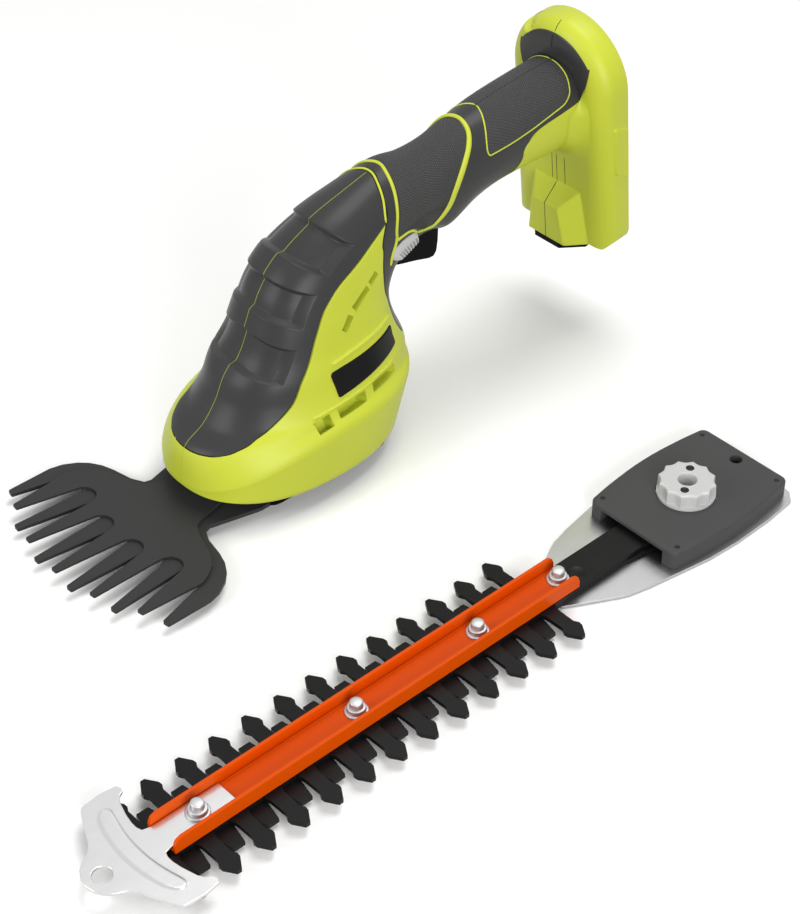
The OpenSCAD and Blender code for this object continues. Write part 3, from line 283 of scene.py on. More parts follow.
def cover_edge(u):
    """Angle of the nose cover's lower edge: it sweeps round the nose, then runs up beside the ridge."""
    return curve(u, [2, 2.06, 2.2, 2.7, 3.4, 4.2, 5.3, 6.8, 7.9, 8.6, 9.7, 10.5, 11.1, 11.8],
                 [22, 30, 36.5, 43, 51, 59, 64.5, 67.5, 71, 74.5, 79.5, 76.5, 71.5, 65])


sleeve_line = ([0, 24, 46, 71, 98, 122, 139, 146, 156, 180],
               [11.66, 11.54, 11.36, 11.03, 9.95, 8.4, 6.3, 4.3, 3.35, 3.25])


def sleeve_front(deg):
    """Front edge of the handle's skin: level over the top, then down the back of the body."""
    return curve(np.abs(deg), *sleeve_line, even=True)


# Cooling slots and ridges: (u, deg) of both ends, half the width in mm and, for a ridge, its height.
vents = ((9.45, 98, 8.93, 97, 1.8), (8.75, 96.5, 7.71, 91, 1.8), (7.39, 90, 6.71, 88, 1.8),
         (2.62, 124, 2.56, 106, 2.5), (2.34, 101.5, 2.26, 88, 2.5), (2.08, 84.7, 1.98, 78, 2.5))
vent_depth, vent_wall = 6.0, 0.6
ridges = ((5.41, 82.5, 6.27, 130.5, 0.9, 1.2), (2.75, 73, 3.4, 123, 0.7, 0.7))
ridge_end, side_from_y = 1.0, 10


def along(ends, at):
    """Distance along a straight line in side view and across it, from its first end, in mm."""
    a, b = bare(*ends[:2])[[0, 2]], bare(*ends[2:4])[[0, 2]]
    way = unit(b - a)
    run = at[..., [0, 2]] - a
    return run @ way, run @ np.array([-way[1], way[0]]), np.linalg.norm(b - a)


def side_relief(u, deg):
    """Relief of the shell's sides in mm: cooling slots cut in, and a round ridge over and under the plate."""
    at = bare(u, deg)
    relief = np.zeros(np.shape(u))
    for *ends, half in vents:
        run, across, length = along(ends, at)
        inside = np.minimum(np.minimum(run, length - run), half - np.abs(across))
        relief -= vent_depth * step(inside, vent_wall) * (at[..., 1] > side_from_y)
    for *ends, half, height in ridges:
        run, across, length = along(ends, at)
        crown = np.sqrt(np.maximum(0, 1 - (across / half) ** 2))
        relief += height * crown * step(np.minimum(run, length - run), ridge_end) * (at[..., 1] > side_from_y)
    return relief


def toned(tree, shader, colour, parts, tone_by, rough, spread, gloss_by, shine):
    """Colour between two parts of itself by one pattern, and roughness give or take a spread by another."""
    dark, light = ((*(min(1, c * part) for c in linear(colour)[:3]), 1) for part in parts)
    shade = add(tree, "ShaderNodeMix", {"data_type": "RGBA", 6: dark, 7: light}, {0: tone_by.outputs["Fac"]})
    gloss = add(tree, "ShaderNodeMapRange", {"To Min": rough - spread, "To Max": rough + spread},
                {"Value": gloss_by.outputs["Fac"]})
    tree.links.new(shade.outputs[2], shader.inputs["Base Color"])
    tree.links.new(gloss.outputs[0], shader.inputs["Roughness"])
    shader.inputs["Specular IOR Level"].default_value = shine


def moulded(name, colour, rough, grain_mm, depth_mm, shine=0.5):
    """Moulded plastic or rubber: slow drift of colour over about 40 mm, fine grain in its bump and gloss."""
    drift_m, drift, gloss_range, plastic_ior = 0.04, 0.03, 0.06, 1.53
    made, tree, shader = material(name)
    place = add(tree, "ShaderNodeTexCoord").outputs["Object"]
    broad = add(tree, "ShaderNodeTexNoise", {"Scale": 1 / drift_m, "Detail": 3.0}, {"Vector": place})
    grain = add(tree, "ShaderNodeTexNoise", {"Scale": 1 / (grain_mm / 1000), "Detail": 2.0},
                {"Vector": place})
    toned(tree, shader, colour, (1 - drift, 1 + drift), broad, rough, gloss_range, grain, shine)
    bump = add(tree, "ShaderNodeBump", {"Strength": 0.5, "Distance": depth_mm / 1000},
               {"Height": grain.outputs["Fac"]})
    tree.links.new(bump.outputs[0], shader.inputs["Normal"])
    shader.inputs["IOR"].default_value = plastic_ior
    return made


# Spark-eroded ABS: even colour, soft broad highlights, and a grain of about 0.35 mm.
green_abs = moulded("spark_eroded_green_abs", "#bec73a", 0.4, 0.35, 0.03, shine=0.25)
seam_half_deg = [0.035, 0.07, 0.12, 0.2, 0.35]
nose_edge = float(cover_edge(2.0))
nose_deg = np.concatenate([seam_half_deg, np.linspace(0.6, nose_edge, 36)])


def runs(*parts):
    """Even runs (first, last, count) set end to end, with the place that two of them share kept once."""
    return np.concatenate([np.linspace(*part)[:-1] for part in parts] + [[parts[-1][1]]])


share = runs((0, 0.25, 30), (0.25, 0.66, 125), (0.66, 1, 34))
held_share, held_deg = 0.2, 66.5
low_u = np.concatenate([np.linspace(0, 0.96, 14), [0.99, 1.01, 1.04], np.linspace(1.08, 2, 46)])


def columns(first, last):
    """Angles of a row from first to last: shares of its width, one of them held at a fixed angle or more, so
    that the columns below the sweep of the nose run straight."""
    held = np.maximum(held_deg, first + (last - first) * held_share)
    return np.where(share < held_share, first + (held - first) * share / held_share,
                    held + (last - held) * (share - held_share) / (1 - held_share))


low_deg = np.concatenate([nose_deg, columns(nose_edge, 180.0)[1:]])
side_u = np.concatenate([2 + 1.4 * np.linspace(0, 1, 62)[:-1] ** 1.5,
                         runs((3.4, 5.2, 36), (5.2, 6.5, 50), (6.5, 9.6, 120), (9.6, 11.0, 36))])
all_round = np.linspace(0, 180, 3000)
side_end = np.interp(side_u, sleeve_front(all_round)[::-1], all_round[::-1])
side_start = cover_edge(side_u)
side_deg = columns(side_start[:, None], np.maximum(side_end, side_start + 0.3)[:, None])
low_grid = np.meshgrid(low_u, low_deg, indexing="ij")
side_grid = np.broadcast_to(side_u[:, None], side_deg.shape)
low = panel(*low_grid, side_relief(*low_grid), ((1, 0), (1, 0)), (0.6, 0.15))
side = panel(side_grid, side_deg, side_relief(side_grid, side_deg), ((0, 1), (1, 1)))
lip = panel(np.full((3, len(nose_deg)), 2.0), np.tile(nose_deg, (3, 1)), 0.0, ((0, 1), (0, 0)))
neck_line = ([0, 66, 74, 80, 85, 91, 113, 136, 180],
             [last_section, last_section, 17.95, 17.55, 17.0, 16.75, 16.62, 16.54, 16.5])
neck_rows, neck_from_deg = 40, 68
neck_deg = np.tile(np.linspace(neck_from_deg, 180, 110), (neck_rows, 1))
neck_start = curve(neck_deg[0], *neck_line)
neck_u = neck_start + (last_section - neck_start) * np.linspace(0, 1, neck_rows)[:, None]
neck = panel(neck_u, neck_deg, 0.0, ((1, 0), (0, 0)))
shell_parts = (low, side, lip, neck)
shell_first = np.cumsum([0] + [part[..., 0].size for part in shell_parts])
shell_faces = np.concatenate([grid_faces(*part.shape[:2], first)
                              for part, first in zip(shell_parts, shell_first)])
shell_points = np.concatenate([part.reshape(-1, 3) for part in shell_parts])
for name, half in both("shell", shell_points, green_abs, "green_plastic", faces=shell_faces):
    modify(half, "weld", "WELD", merge_threshold=2e-5)
    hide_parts(f"{name}_housing")


# Side plates: a plain black plate of printed film on each side, with rounded corners, pressed flat between
# the two ridges of the shell.
plate_long, plate_wide, plate_corner, plate_up = 38, 13, 1.4, 0.55
plate_sides = np.array([[(3.34, 85.5), (4.2, 128.5)], [(4.99, 82), (5.55, 129)]])


def drawn_in(a, long_mm, corner):
    """How far in mm round corners draw in the sides of a plate near both ends of a: on a quarter circle."""
    end = np.clip(1 - np.minimum(a, 1 - a) * long_mm / corner, 0, 1)
    return corner * (1 - np.sqrt(1 - end ** 2))


def rounded(long_mm, wide_mm, corner, rows, cols):
    """Grid (a, b) from 0 to 1 over a plate with round corners, with its rows crowded at both ends."""
    a = np.tile((1 - np.cos(np.linspace(0, np.pi, rows)))[:, None] / 2, (1, cols))
    inset = drawn_in(a, long_mm, corner) / wide_mm
    return a, inset + (1 - 2 * inset) * np.linspace(0, 1, cols)


def spanned(sides, a, b):
    """Places between four corners: straight along both sides by a, and straight from side to side by b."""
    first, last = (side[0] + (side[1] - side[0]) * a[..., None] for side in sides)
    return np.moveaxis(first + (last - first) * b[..., None], -1, 0)


a, b = rounded(plate_long, plate_wide, plate_corner, 60, 24)
plate = panel(*spanned(plate_sides, a, b), plate_up, ease=(0.3, 0.3))
# Printed film: even black with a faint sheen.
black_film = moulded("black_printed_film", "#0a0a0a", 0.3, 0.8, 0.004, shine=0.12)
both("side_plate", plate, black_film, "black_plastic")


# Nose covers: a soft dark grey skin moulded over each half of the nose, with three shallow finger pockets
# across the ridge. A thin bead of the green shell shows along the middle seam.
# Overmoulded rubber: dark grey, with a soft satin sheen and a very fine grain.
soft_grey = moulded("soft_grey_overmould", "#353535", 0.34, 0.3, 0.012, shine=0.16)
# A pocket: u of its sill at the ridge and the fall of that by degree, the same for its head, and mm to one u.
pockets = ((5.50, 0.0072, 6.72, 0.0057, 13.0), (7.32, 0.0034, 8.48, 0.001, 14.0),
           (9.10, 0.001, 10.03, 0.0005, 20.0))
pocket_depth, pocket_sill, pocket_head, pocket_cheek, pocket_soft = 2.3, 2.7, 1.2, 4.5, 0.16
cheek_mm, along_mm, edge_deg = 0.38, 15.0, 4


def pocket_reach(u):
    """Angle at which the pockets end, always inside the cover's own edge."""
    return np.minimum(curve(u, [2, 5.4, 7.9, 9.6, 11.8], [49, 50.5, 57, 61.5, 62]), cover_edge(u) - edge_deg)


def cover_relief(u, deg):
    """Relief of the nose cover in mm: a pocket is as deep as the nearest of its sloping sill, steep head and
    sloping cheeks lets it be; the mean of nine close places rounds its edges."""
    total = np.zeros(np.shape(u))
    near = (-pocket_soft, 0, pocket_soft)
    for du in near:
        for dt in near:
            v, turn = u + du / along_mm, np.abs(deg) + dt / cheek_mm
            cheek = (pocket_reach(v) - turn) * cheek_mm / pocket_cheek
            for sill, sill_slope, head, head_slope, mm in pockets:
                rise = (v - sill + sill_slope * turn) * mm / pocket_sill
                fall = (head - head_slope * turn - v) * mm / pocket_head
                total += np.clip(np.minimum(np.minimum(rise, fall), cheek), 0, 1)
    return -pocket_depth / len(near) ** 2 * total


def spread(counts):
    """Places along a row of intervals, crowded at their ends: the interval's number plus (1 - cos) / 2."""
    inner = [i + (1 - np.cos(np.pi * np.arange(n) / n)) / 2 for i, n in enumerate(counts)]
    return np.concatenate(inner + [[len(counts)]])


def between(knots, places):
    """Value at each place: straight between the two knots that it lies between (knots run on axis 0)."""
    i = np.minimum(places.astype(int), len(knots) - 2)
    low, high = (np.take_along_axis(knots, (i + k)[None], 0)[0] for k in (0, 1))
    return low + (high - low) * (places - i)


# The pockets' marks depend on the angle and the angle on their place, so a few rounds settle both.
rows = spread([44] + [10, 24, 8, 14] * 2 + [10, 24, 8, 34])
cols = spread([30, 14, 20])
row_at, col_at = np.meshgrid(rows, cols, indexing="ij")
cover_first, cover_gap, cover_gap_deg, cover_guess, cover_rounds = 2.03, 0.03, 0.5, 20, 12
cover_deg = cover_guess * col_at
for _ in range(cover_rounds):
    marks = [np.full(cover_deg.shape, cover_first)]
    for sill, sill_slope, head, head_slope, mm in pockets:
        low_mark, high_mark = sill - sill_slope * cover_deg, head - head_slope * cover_deg
        marks += [low_mark, low_mark + pocket_sill / mm, high_mark - pocket_head / mm, high_mark]
    cover_u = between(np.stack(marks + [sleeve_front(cover_deg) - cover_gap]), row_at)
    reach = pocket_reach(cover_u)
    cover_deg = between(np.stack([np.zeros(reach.shape), reach - pocket_cheek / cheek_mm, reach,
                                  cover_edge(cover_u) - cover_gap_deg]), col_at)
cover = panel(cover_u, cover_deg, cover_relief(cover_u, cover_deg), ((1, 1), (0, 1)))
for name, half in both("nose_skin", cover, soft_grey, "soft_skin"):
    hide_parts(f"{name}_nose_cover")


def bead(name, path, normal, width, height, finish, slot, body="tool"):
    """Bead on a surface: a half ellipse, width by height in mm, carried along a path and drawn in to nearly
    nothing at both ends; it reaches a little below the surface."""
    taper_mm, least, below = 1.5, 0.005, 0.25
    gone = gone_along(path)
    taper = np.sqrt(np.clip(np.minimum(gone, gone[-1] - gone) / taper_mm, least, 1))[:, None, None]
    across = np.cross(normal, unit(np.gradient(path, axis=0)))
    turn = np.linspace(-below, np.pi + below, 13)
    half_width = np.broadcast_to(width, gone.shape)[:, None, None] / 2
    ring = (path[:, None] + across[:, None] * half_width * taper * np.cos(turn)[:, None]
            + normal[:, None] * height * taper * np.sin(turn)[:, None])
    return piece(name, ring, finish, slot, body)


def trace(points, count):
    """Smooth line through (u, deg) points of the loft, even in mm: its places and its normals."""
    points = np.array(points, float)
    gone = gone_along(bare(*points.T))
    at = np.linspace(0, gone[-1], count)
    u, deg = (curve(at, gone, points[:, k]) for k in (0, 1))
    return bare(u, deg), outward(u, deg)


seam_u = np.linspace(1.97, 11.62, 500)
seam_deg = np.zeros(seam_u.shape)
seam_out = outward(seam_u, seam_deg)
seam = bare(seam_u, seam_deg) + seam_out * cover_relief(seam_u, seam_deg)[:, None]
# Edge of the green shell seen in a narrow gap: the shell's green with the gap's shade painted in, a duller,
# darker yellow-green than the open shell.
seam_shade_green = moulded("shaded_green_abs", "#8e952c", 0.5, 0.35, 0.02, shine=0.2)
bead("nose_seam_bead", seam, seam_out, 0.34, 0.03, seam_shade_green, "green_plastic")


# Handle grips: the same soft skin wrapped round the handle and down the back of the body. It is split on
# the middle plane; green beads of the shell stand up through it, and two pads carry a moulded texture.
sleeve_rows, sleeve_gap, neck_gap = 330, 0.03, 0.02
sleeve_deg = np.tile(np.concatenate([seam_half_deg, np.linspace(0.6, 180, 110)]), (sleeve_rows, 1))
sleeve_start = sleeve_front(sleeve_deg[0]) + sleeve_gap
sleeve_stop = curve(sleeve_deg[0], *neck_line) - neck_gap
sleeve_u = sleeve_start + (sleeve_stop - sleeve_start) * np.linspace(0, 1, sleeve_rows)[:, None]
sleeve = panel(sleeve_u, sleeve_deg, 0.0, ((1, 1), (1, 0)), (0.6, 0.15))
for name, half in both("sleeve", sleeve, soft_grey, "soft_skin"):
    modify(half, "wall", "SOLIDIFY", thickness=0.0014, offset=-1)
    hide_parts(f"{name}_grip")

front_line = [(11.94, 0), (11.87, 16), (11.6, 55), (11.27, 80), (10.77, 97), (10.22, 106), (9.87, 113)]
ring_line = [(15.0, 0), (14.97, 14), (14.9, 29), (14.72, 46.5), (14.46, 61), (14.16, 75), (13.84, 89),
             (13.42, 105), (13.05, 116.5), (12.7, 124.5), (12.25, 123), (11.69, 113)]
cover_line_end = 72
cover_line = [(u, deg) for deg, u in zip(*sleeve_line) if deg < cover_line_end]
lens_line = [(10.87, 94.5), (11.15, 96.5), (11.39, 99), (11.57, 104), (11.69, 113)]


def over(line):
    """A line of one side, carried over the top to the other side."""
    return [(u, -deg) for u, deg in line[:0:-1]] + list(line)


bead_steps = 400
ring_share = np.abs(np.linspace(-1, 1, bead_steps))
ring_width = curve(ring_share, [0, 0.25, 0.5, 0.75, 0.9, 1], [2.0, 2.6, 3.3, 2.6, 1.3, 0.9], even=True)
for name, line, width, height in (
        ("front_bead", over(front_line), 1.6, 0.7), ("ring_bead", over(ring_line), ring_width, 0.9),
        ("cover_bead", over(cover_line), 1.1, 0.45), ("left_lens_bead", lens_line, 1.3, 0.7),
        ("right_lens_bead", [(u, -deg) for u, deg in lens_line[::-1]], 1.3, 0.7)):
    bead(name, *trace(line, bead_steps), width, height, green_abs, "green_plastic")

# Textured rubber: rows of small lozenges, about 1.3 mm apart, moulded into the soft skin, with painted shade
# in the pits between them.
pad_rubber = moulded("lozenge_textured_rubber", "#4a4a4a", 0.5, 0.3, 0.02, shine=0.12)
tree, shader = pad_rubber.node_tree, pad_rubber.node_tree.nodes["Principled BSDF"]
flat_map = add(tree, "ShaderNodeUVMap", {"uv_map": "along_surface"})
split = add(tree, "ShaderNodeSeparateXYZ", {}, {0: flat_map.outputs[0]})
lozenge_mm, lozenge_lean, lozenge_up, pit_shade_tone = 1.3, 0.6, 0.0004, 0.55
waves = []
for lean in (lozenge_lean, -lozenge_lean):
    turned = worked(tree, "MULTIPLY_ADD", split.outputs[0], lean, split.outputs[1])
    waves.append(worked(tree, "SINE", worked(tree, "MULTIPLY", turned, math.pi / lozenge_mm)))
high = worked(tree, "ABSOLUTE", worked(tree, "MULTIPLY", *waves))
knurl = add(tree, "ShaderNodeBump", {"Strength": 0.9, "Distance": lozenge_up}, {"Height": high})
tree.links.new(knurl.outputs[0], shader.inputs["Normal"])
# Painted shade: the base colour is darkened in the pits between the lozenges.
pit_shade = add(tree, "ShaderNodeMapRange", {"From Max": 0.5, "To Min": pit_shade_tone, "To Max": 1.0}, {"Value": high})
base = shader.inputs["Base Color"].links[0].from_socket
dark = add(tree, "ShaderNodeMix", {"data_type": "RGBA", "blend_type": "MULTIPLY", 0: 1.0},
           {6: base, 7: pit_shade.outputs[0]})
tree.links.new(dark.outputs[2], shader.inputs["Base Color"])


def pad(name, u, deg, rims):
    """Textured pad: a panel raised a little, with its own lengths along and across as a map in mm."""
    pad_up = 0.15
    points = panel(u, deg, pad_up, rims, (0.4, 0.15))
    lengths = np.stack([gone_along(points, axis) for axis in (0, 1)], -1)
    both(name, points, pad_rubber, "soft_skin", uv=lengths)


pad_rows, pad_end_deg, pad_gap, pad_least = 120, 123, 0.09, 0.05
pad_deg = np.tile(np.linspace(0, pad_end_deg, 100), (pad_rows, 1))
pad_front = curve(pad_deg[0], [0, 12.5, 38, 58, 80, 90, 95, 99, 104, 110, pad_end_deg],
                  [12.04, 11.94, 11.77, 11.64, 11.36, 11.14, 11.16, 11.45, 11.68, 11.8, 12.1], even=True)
ring_lowest = 10
ring_u, ring_deg = np.array(ring_line[:ring_lowest]).T
pad_rear = np.maximum(curve(pad_deg[0], ring_deg, ring_u, even=True) - pad_gap, pad_front + pad_least)
pad_u = pad_front + (pad_rear - pad_front) * np.linspace(0, 1, pad_rows)[:, None]
pad("front_pad", pad_u, pad_deg, ((1, 1), (0, 1)))
# The rear pad's ends depend on the angle and its low edge on u, so a few rounds settle both.
rear_corner, rear_long, rear_deg_mm, rear_guess, rear_rounds = 3.2, 54.0, 0.28, 80, 6
a = (1 - np.cos(np.linspace(0, np.pi, pad_rows)))[:, None] / 2
b = np.concatenate([[0.002, 0.004, 0.006], np.linspace(0.01, 1, 70)])
drop = drawn_in(a, rear_long, rear_corner) / rear_deg_mm
rear_deg = rear_guess * b + 0 * a
for _ in range(rear_rounds):
    rear_front = curve(rear_deg, [0, 13, 36, 62, 80], [15.64, 15.57, 15.41, 15.25, 15.2], even=True)
    rear_back = curve(rear_deg, [0, 17, 38, 56, 80], [17.74, 17.72, 17.69, 17.64, 17.56], even=True)
    rear_u = rear_front + (rear_back - rear_front) * a
    rear_low = curve(rear_u, [15.2, 15.6, 16.36, 17.1, 17.5, 17.8], [78, 80.5, 82, 77.5, 71, 64])
    rear_deg = b * (rear_low - drop)
pad("rear_pad", rear_u, rear_deg, ((1, 1), (1, 1)))
outline_u, outline_deg = (np.concatenate([v[0], v[1:, -1], v[-1, -2::-1]]) for v in (rear_u, rear_deg))
for side_name, hand in hands:
    at = outline_u, outline_deg * hand
    bead(f"{side_name}_pad_bead", bare(*at), outward(*at), 0.75, 0.35, green_abs, "green_plastic")


# Lock-off button: a pale grey acetal lens on each side of the handle, one moulding through both halves, with
# seven grip grooves across its lower part.
# Acetal: pale grey, with a clean and slightly waxy highlight.
grey_acetal = moulded("pale_grey_acetal", "#b6b6b5", 0.38, 0.3, 0.015)
lens_rows, lens_cols, lens_base, lens_height = 150, 60, 0.2, 2.3
lens_first, lens_long, lens_middle, lens_lean = 10.18, 1.5, 110, 10
groove_count, groove_first, groove_span, groove_deep = 7, 0.2, 0.72, 1.2
a, b = np.meshgrid(np.linspace(0, 1, lens_rows), np.linspace(-1, 1, lens_cols), indexing="ij")
lens_half = curve(a, [0, 0.12, 0.45, 0.8, 0.95, 1], [2.0, 7.0, 13.0, 13.0, 10.0, 7.0])
lens_u, lens_deg = lens_first + lens_long * a, lens_middle + lens_lean * a + lens_half * b
brow, brow_end, brow_power, lens_toe, lens_heel = 0.5, 1.02, 0.75, 0.15, 0.1
groove_from, groove_to, groove_half, groove_wall = -0.35, 0.85, 0.3, 0.12
profile = np.where(b < brow, np.clip((1 + b) / (1 + brow), 0, 1) ** brow_power,
                   np.sqrt(np.clip(1 - ((b - brow) / (brow_end - brow)) ** 2, 0, 1)))
crown = profile * np.sqrt(np.clip(np.minimum(a / lens_toe, (1 - a) / lens_heel), 0, 1))
groove_phase = (a - groove_first) / groove_span * groove_count
in_grooves = ((groove_phase > 0) * (groove_phase < groove_count)
              * step(b - groove_from, 0.2) * step(groove_to - b, 0.1))
grooved = step(groove_half - np.abs(groove_phase % 1 - 0.5), groove_wall) * in_grooves
lens_up = lens_base + (lens_height - groove_deep * grooved) * crown
lens = panel(lens_u, lens_deg, lens_up, ease=(0.3, 0.3))
for _, button in both("lock_off_lens", lens, grey_acetal, "light_grey_plastic", "lock_off", sharp=30):
    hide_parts("lock_off_button")


# Foot: the battery's seat at the end of the handle, a hollow block moulded with the shell halves and open
# to the rear. A boss on its front holds the latch, and a dark collar of the skin runs up on to it.
tilt, foot_x, foot_z = math.radians(6), -203.0, 119.5
foot_half, foot_top, foot_low, foot_corner = 31.0, 9.3, -76.0, 8.0
foot_front, foot_side, foot_floor, foot_round = -3.0, 5.5, 2.0, 11.0
socket_half = np.array([12.0, 16.5])
boss_top, boss_half, boss_flare, boss_out, boss_slope, boss_end = -46.0, 15.0, 0.16, 9.0, 8, 1.2
dimple_y, dimple_t, dimple_r, dimple_deep, dimple_wall = -19.0, 32.3, 4.4, 4.0, 1.0


def foot(y, s, t):
    """Place of a foot point: y across, s rearwards and t up along the tilted block, from its middle."""
    y, s, t = np.broadcast_arrays(y, s, t)
    return np.stack([foot_x - s * math.cos(tilt) + t * math.sin(tilt), y,
                     foot_z + s * math.sin(tilt) + t * math.cos(tilt)], -1)


def up_foot(points):
    """Height t of points along the tilted block."""
    return (points[..., 0] - foot_x) * math.sin(tilt) + (points[..., 2] - foot_z) * math.cos(tilt)


def even_loop(loop, count):
    """Closed outline set out anew in even steps, and the unit normals on the left of its way round."""
    gone = gone_along(loop)
    at = np.linspace(0, gone[-1], count, endpoint=False)
    loop = np.stack([np.interp(at, gone, loop[:, k]) for k in (0, 1)], -1)
    way = np.roll(loop, -1, 0) - np.roll(loop, 1, 0)
    return loop, unit(np.stack([-way[:, 1], way[:, 0]], -1))


def foot_inset(y, t):
    """Distance in mm from the block's outline; the flat bottom counts more, so its edge stays crisp."""
    bottom_weight = 5
    y, low_gap = np.abs(y), (t - foot_low) * bottom_weight
    return np.maximum(0, np.where(t > foot_top, foot_half - np.hypot(y, t - foot_top),
                                  np.minimum(foot_half - y, low_gap)))


def foot_face(y, t):
    """Front of the block: flat, falling off on a quarter round at its edge, with the latch boss standing up
    and one round screw dimple let into the upper edge."""
    edge = np.clip(foot_inset(y, t) / foot_round, 0, 1)
    face = foot_front + (foot_side - foot_front) * (1 - np.sqrt(1 - (1 - edge) ** 2))
    boss = np.minimum(boss_half + boss_flare * (boss_top - t) - np.abs(y), boss_top - t) / boss_slope
    boss = np.minimum(boss, (t - foot_low) / boss_end)
    dimple = dimple_deep * step(dimple_r - np.hypot(y - dimple_y, t - dimple_t), dimple_wall)
    return face - boss_out * np.clip(boss, 0, 1) + dimple


# Outline: a half circle on a box with round corners. Rows run from the handle's hole over the front, round
# the wall and its rear rim, and down to the floor and back.
arc = np.linspace(0, np.pi / 2, 60)
half_loop = np.concatenate([
    np.stack([foot_half * np.sin(arc), foot_top + foot_half * np.cos(arc)], -1),
    np.stack([foot_half - foot_corner * (1 - np.cos(arc)), foot_low + foot_corner * (1 - np.sin(arc))], -1)])
round_count, floor_inset = 420, 4.4
loop, outside = even_loop(np.concatenate([half_loop, half_loop[::-1] * (-1, 1)]), round_count)
ray = unit(loop)
hole = ray * np.min(socket_half / np.maximum(np.abs(ray), 1e-6), -1, keepdims=True)
out = 1 - (1 - np.linspace(0, 1, 130)) ** 1.5
face_yt = hole + (loop - hole) * out[:, None, None]
block_rows = [foot(face_yt[..., 0], foot_face(face_yt[..., 0], face_yt[..., 1]), face_yt[..., 1])]
for inset, s in ((0, 8.0), (0, 13.2), (0.25, 13.75), (0.8, 14.0), (2.2, 14.0), (2.8, 13.8), (3.0, 13.2),
                 (3.0, 3.4), (3.4, 2.4), (floor_inset, foot_floor)):
    at = loop - outside * inset
    block_rows.append(foot(at[:, 0], s, at[:, 1])[None])
floor_yt = hole + (loop - outside * floor_inset - hole) * np.linspace(0.9, 0, 10)[:, None, None]
block_rows.append(foot(floor_yt[..., 0], foot_floor, floor_yt[..., 1]))
block_rows.append(foot(hole[:, 0], foot_front, hole[:, 1])[None])
block = np.concatenate(block_rows)
foot_block = piece("foot_block", block, green_abs, "green_plastic", closed=True)
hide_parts("left_housing", "right_housing")

# Side pads: a low raised panel near the rear edge of each side of the block.
side_pad_long, side_pad_wide, side_pad_up, side_pad_wall, side_pad_sunk = 29, 9.8, 1.3, 0.9, 0.1
side_pad_ends = np.array([[(3.6, -32.0), (13.3, -38.0)], [(3.4, -5.5), (13.3, -9.0)]])
a, b = rounded(side_pad_long, side_pad_wide, 2.5, 50, 20)
pad_s, pad_t = spanned(side_pad_ends, b, a)
rim = np.minimum(np.minimum(a, 1 - a) * side_pad_long,
                 np.minimum(b - b[:, :1], b[:, -1:] - b) * side_pad_wide)
round_share = np.clip((foot_side - pad_s) / (foot_side - foot_front), 0, 1)
wall_in = foot_round * (1 - np.sqrt(1 - round_share ** 2))
pad_y = foot_half - wall_in + side_pad_up * step(rim, side_pad_wall) - side_pad_sunk
both("foot_pad", foot(pad_y, pad_s, pad_t), green_abs, "green_plastic", turned=True)

# Collar and root: the skin, and under it the shell, sweep out from the handle on a fillet, which grows wider
# below the collar.
root_turn = np.linspace(0, 180, 721)
root = bare(last_section, root_turn)
root_t = up_foot(root)
root_angle = np.degrees(np.arctan2(root[:, 1], root_t))
fillet, under_fillet, under_from, under_over = 5.0, 9.0, 62, 30
bend_mm, leave_u, leave_back, skin_up = 8.0, 17.8, 0.25, 0.12
tuck_out, tuck_mm = 0.1, 0.6


def flare(angle, last, lift, rows):
    """Sweep from the handle to the foot's face for angles round the handle, up to last in mm along its
    profile: a quadratic curve from the handle by the corner to the face, then straight on the face. The
    last row is tucked in."""
    deg = np.sign(angle) * np.interp(np.abs(angle), root_angle, root_turn)
    wide = step(np.abs(angle) - under_from, under_over)
    reach = fillet + (under_fillet - fillet) * wide
    leave = leave_u - leave_back * wide
    sin, cos = np.sin(np.radians(angle)), np.cos(np.radians(angle))
    inner = bare(leave, deg) + outward(leave, deg) * skin_up
    at_root = bare(last_section, deg)
    r = np.hypot(at_root[:, 1], up_foot(at_root)) + skin_up

    def on_face(radius, up):
        """Point of the foot's face at a radius from the handle's middle, lifted off it."""
        return foot(radius * sin, foot_face(radius * sin, radius * cos) - up, radius * cos)

    gone = last * np.linspace(0, 1, rows)[:, None]
    v = np.clip(gone / bend_mm, 0, 1)[..., None]
    bend = (1 - v) ** 2 * inner + 2 * v * (1 - v) * on_face(r, lift) + v * v * on_face(r + reach, lift)
    beyond = np.maximum(gone - bend_mm, 0)
    flat = on_face(r + reach + beyond, lift)
    sheet = np.where((gone > bend_mm)[..., None], flat, bend)
    tuck = np.where((last > bend_mm)[..., None], on_face(r + reach + beyond[-1] + tuck_out, -tuck_mm),
                    sheet[-1] - (0, 0, tuck_mm))
    return np.concatenate([sheet, tuck[None]])


collar_corner, collar_end = 41.0, 68
collar_angle = runs((-collar_end, -collar_corner, 40), (-collar_corner, collar_corner, 111),
                    (collar_corner, collar_end, 40))
turn = np.abs(collar_angle)
root_r = np.interp(turn, root_angle, np.hypot(root[:, 1], root_t))
corner_reach, corner_root, collar_least, collar_up, root_up = 31.8, 20.4, 0.3, 0.7, 0.02
collar_reach = curve(turn, [0, 16, 30, collar_corner], [35.2, 34.7, 33.2, corner_reach], even=True)
collar_mm = np.where(turn < collar_corner, bend_mm - fillet + collar_reach - root_r,
                     np.interp(turn, [collar_corner, collar_end],
                               [bend_mm - fillet + corner_reach - corner_root, collar_least]))
piece("collar", flare(collar_angle, collar_mm, collar_up, 60), soft_grey, "soft_skin", flip=True)
root_angles = np.linspace(collar_corner, 179.9, 160)
root_flare = flare(root_angles, np.full(root_angles.shape, bend_mm + 1), root_up, 40)
both("root", root_flare, green_abs, "green_plastic")
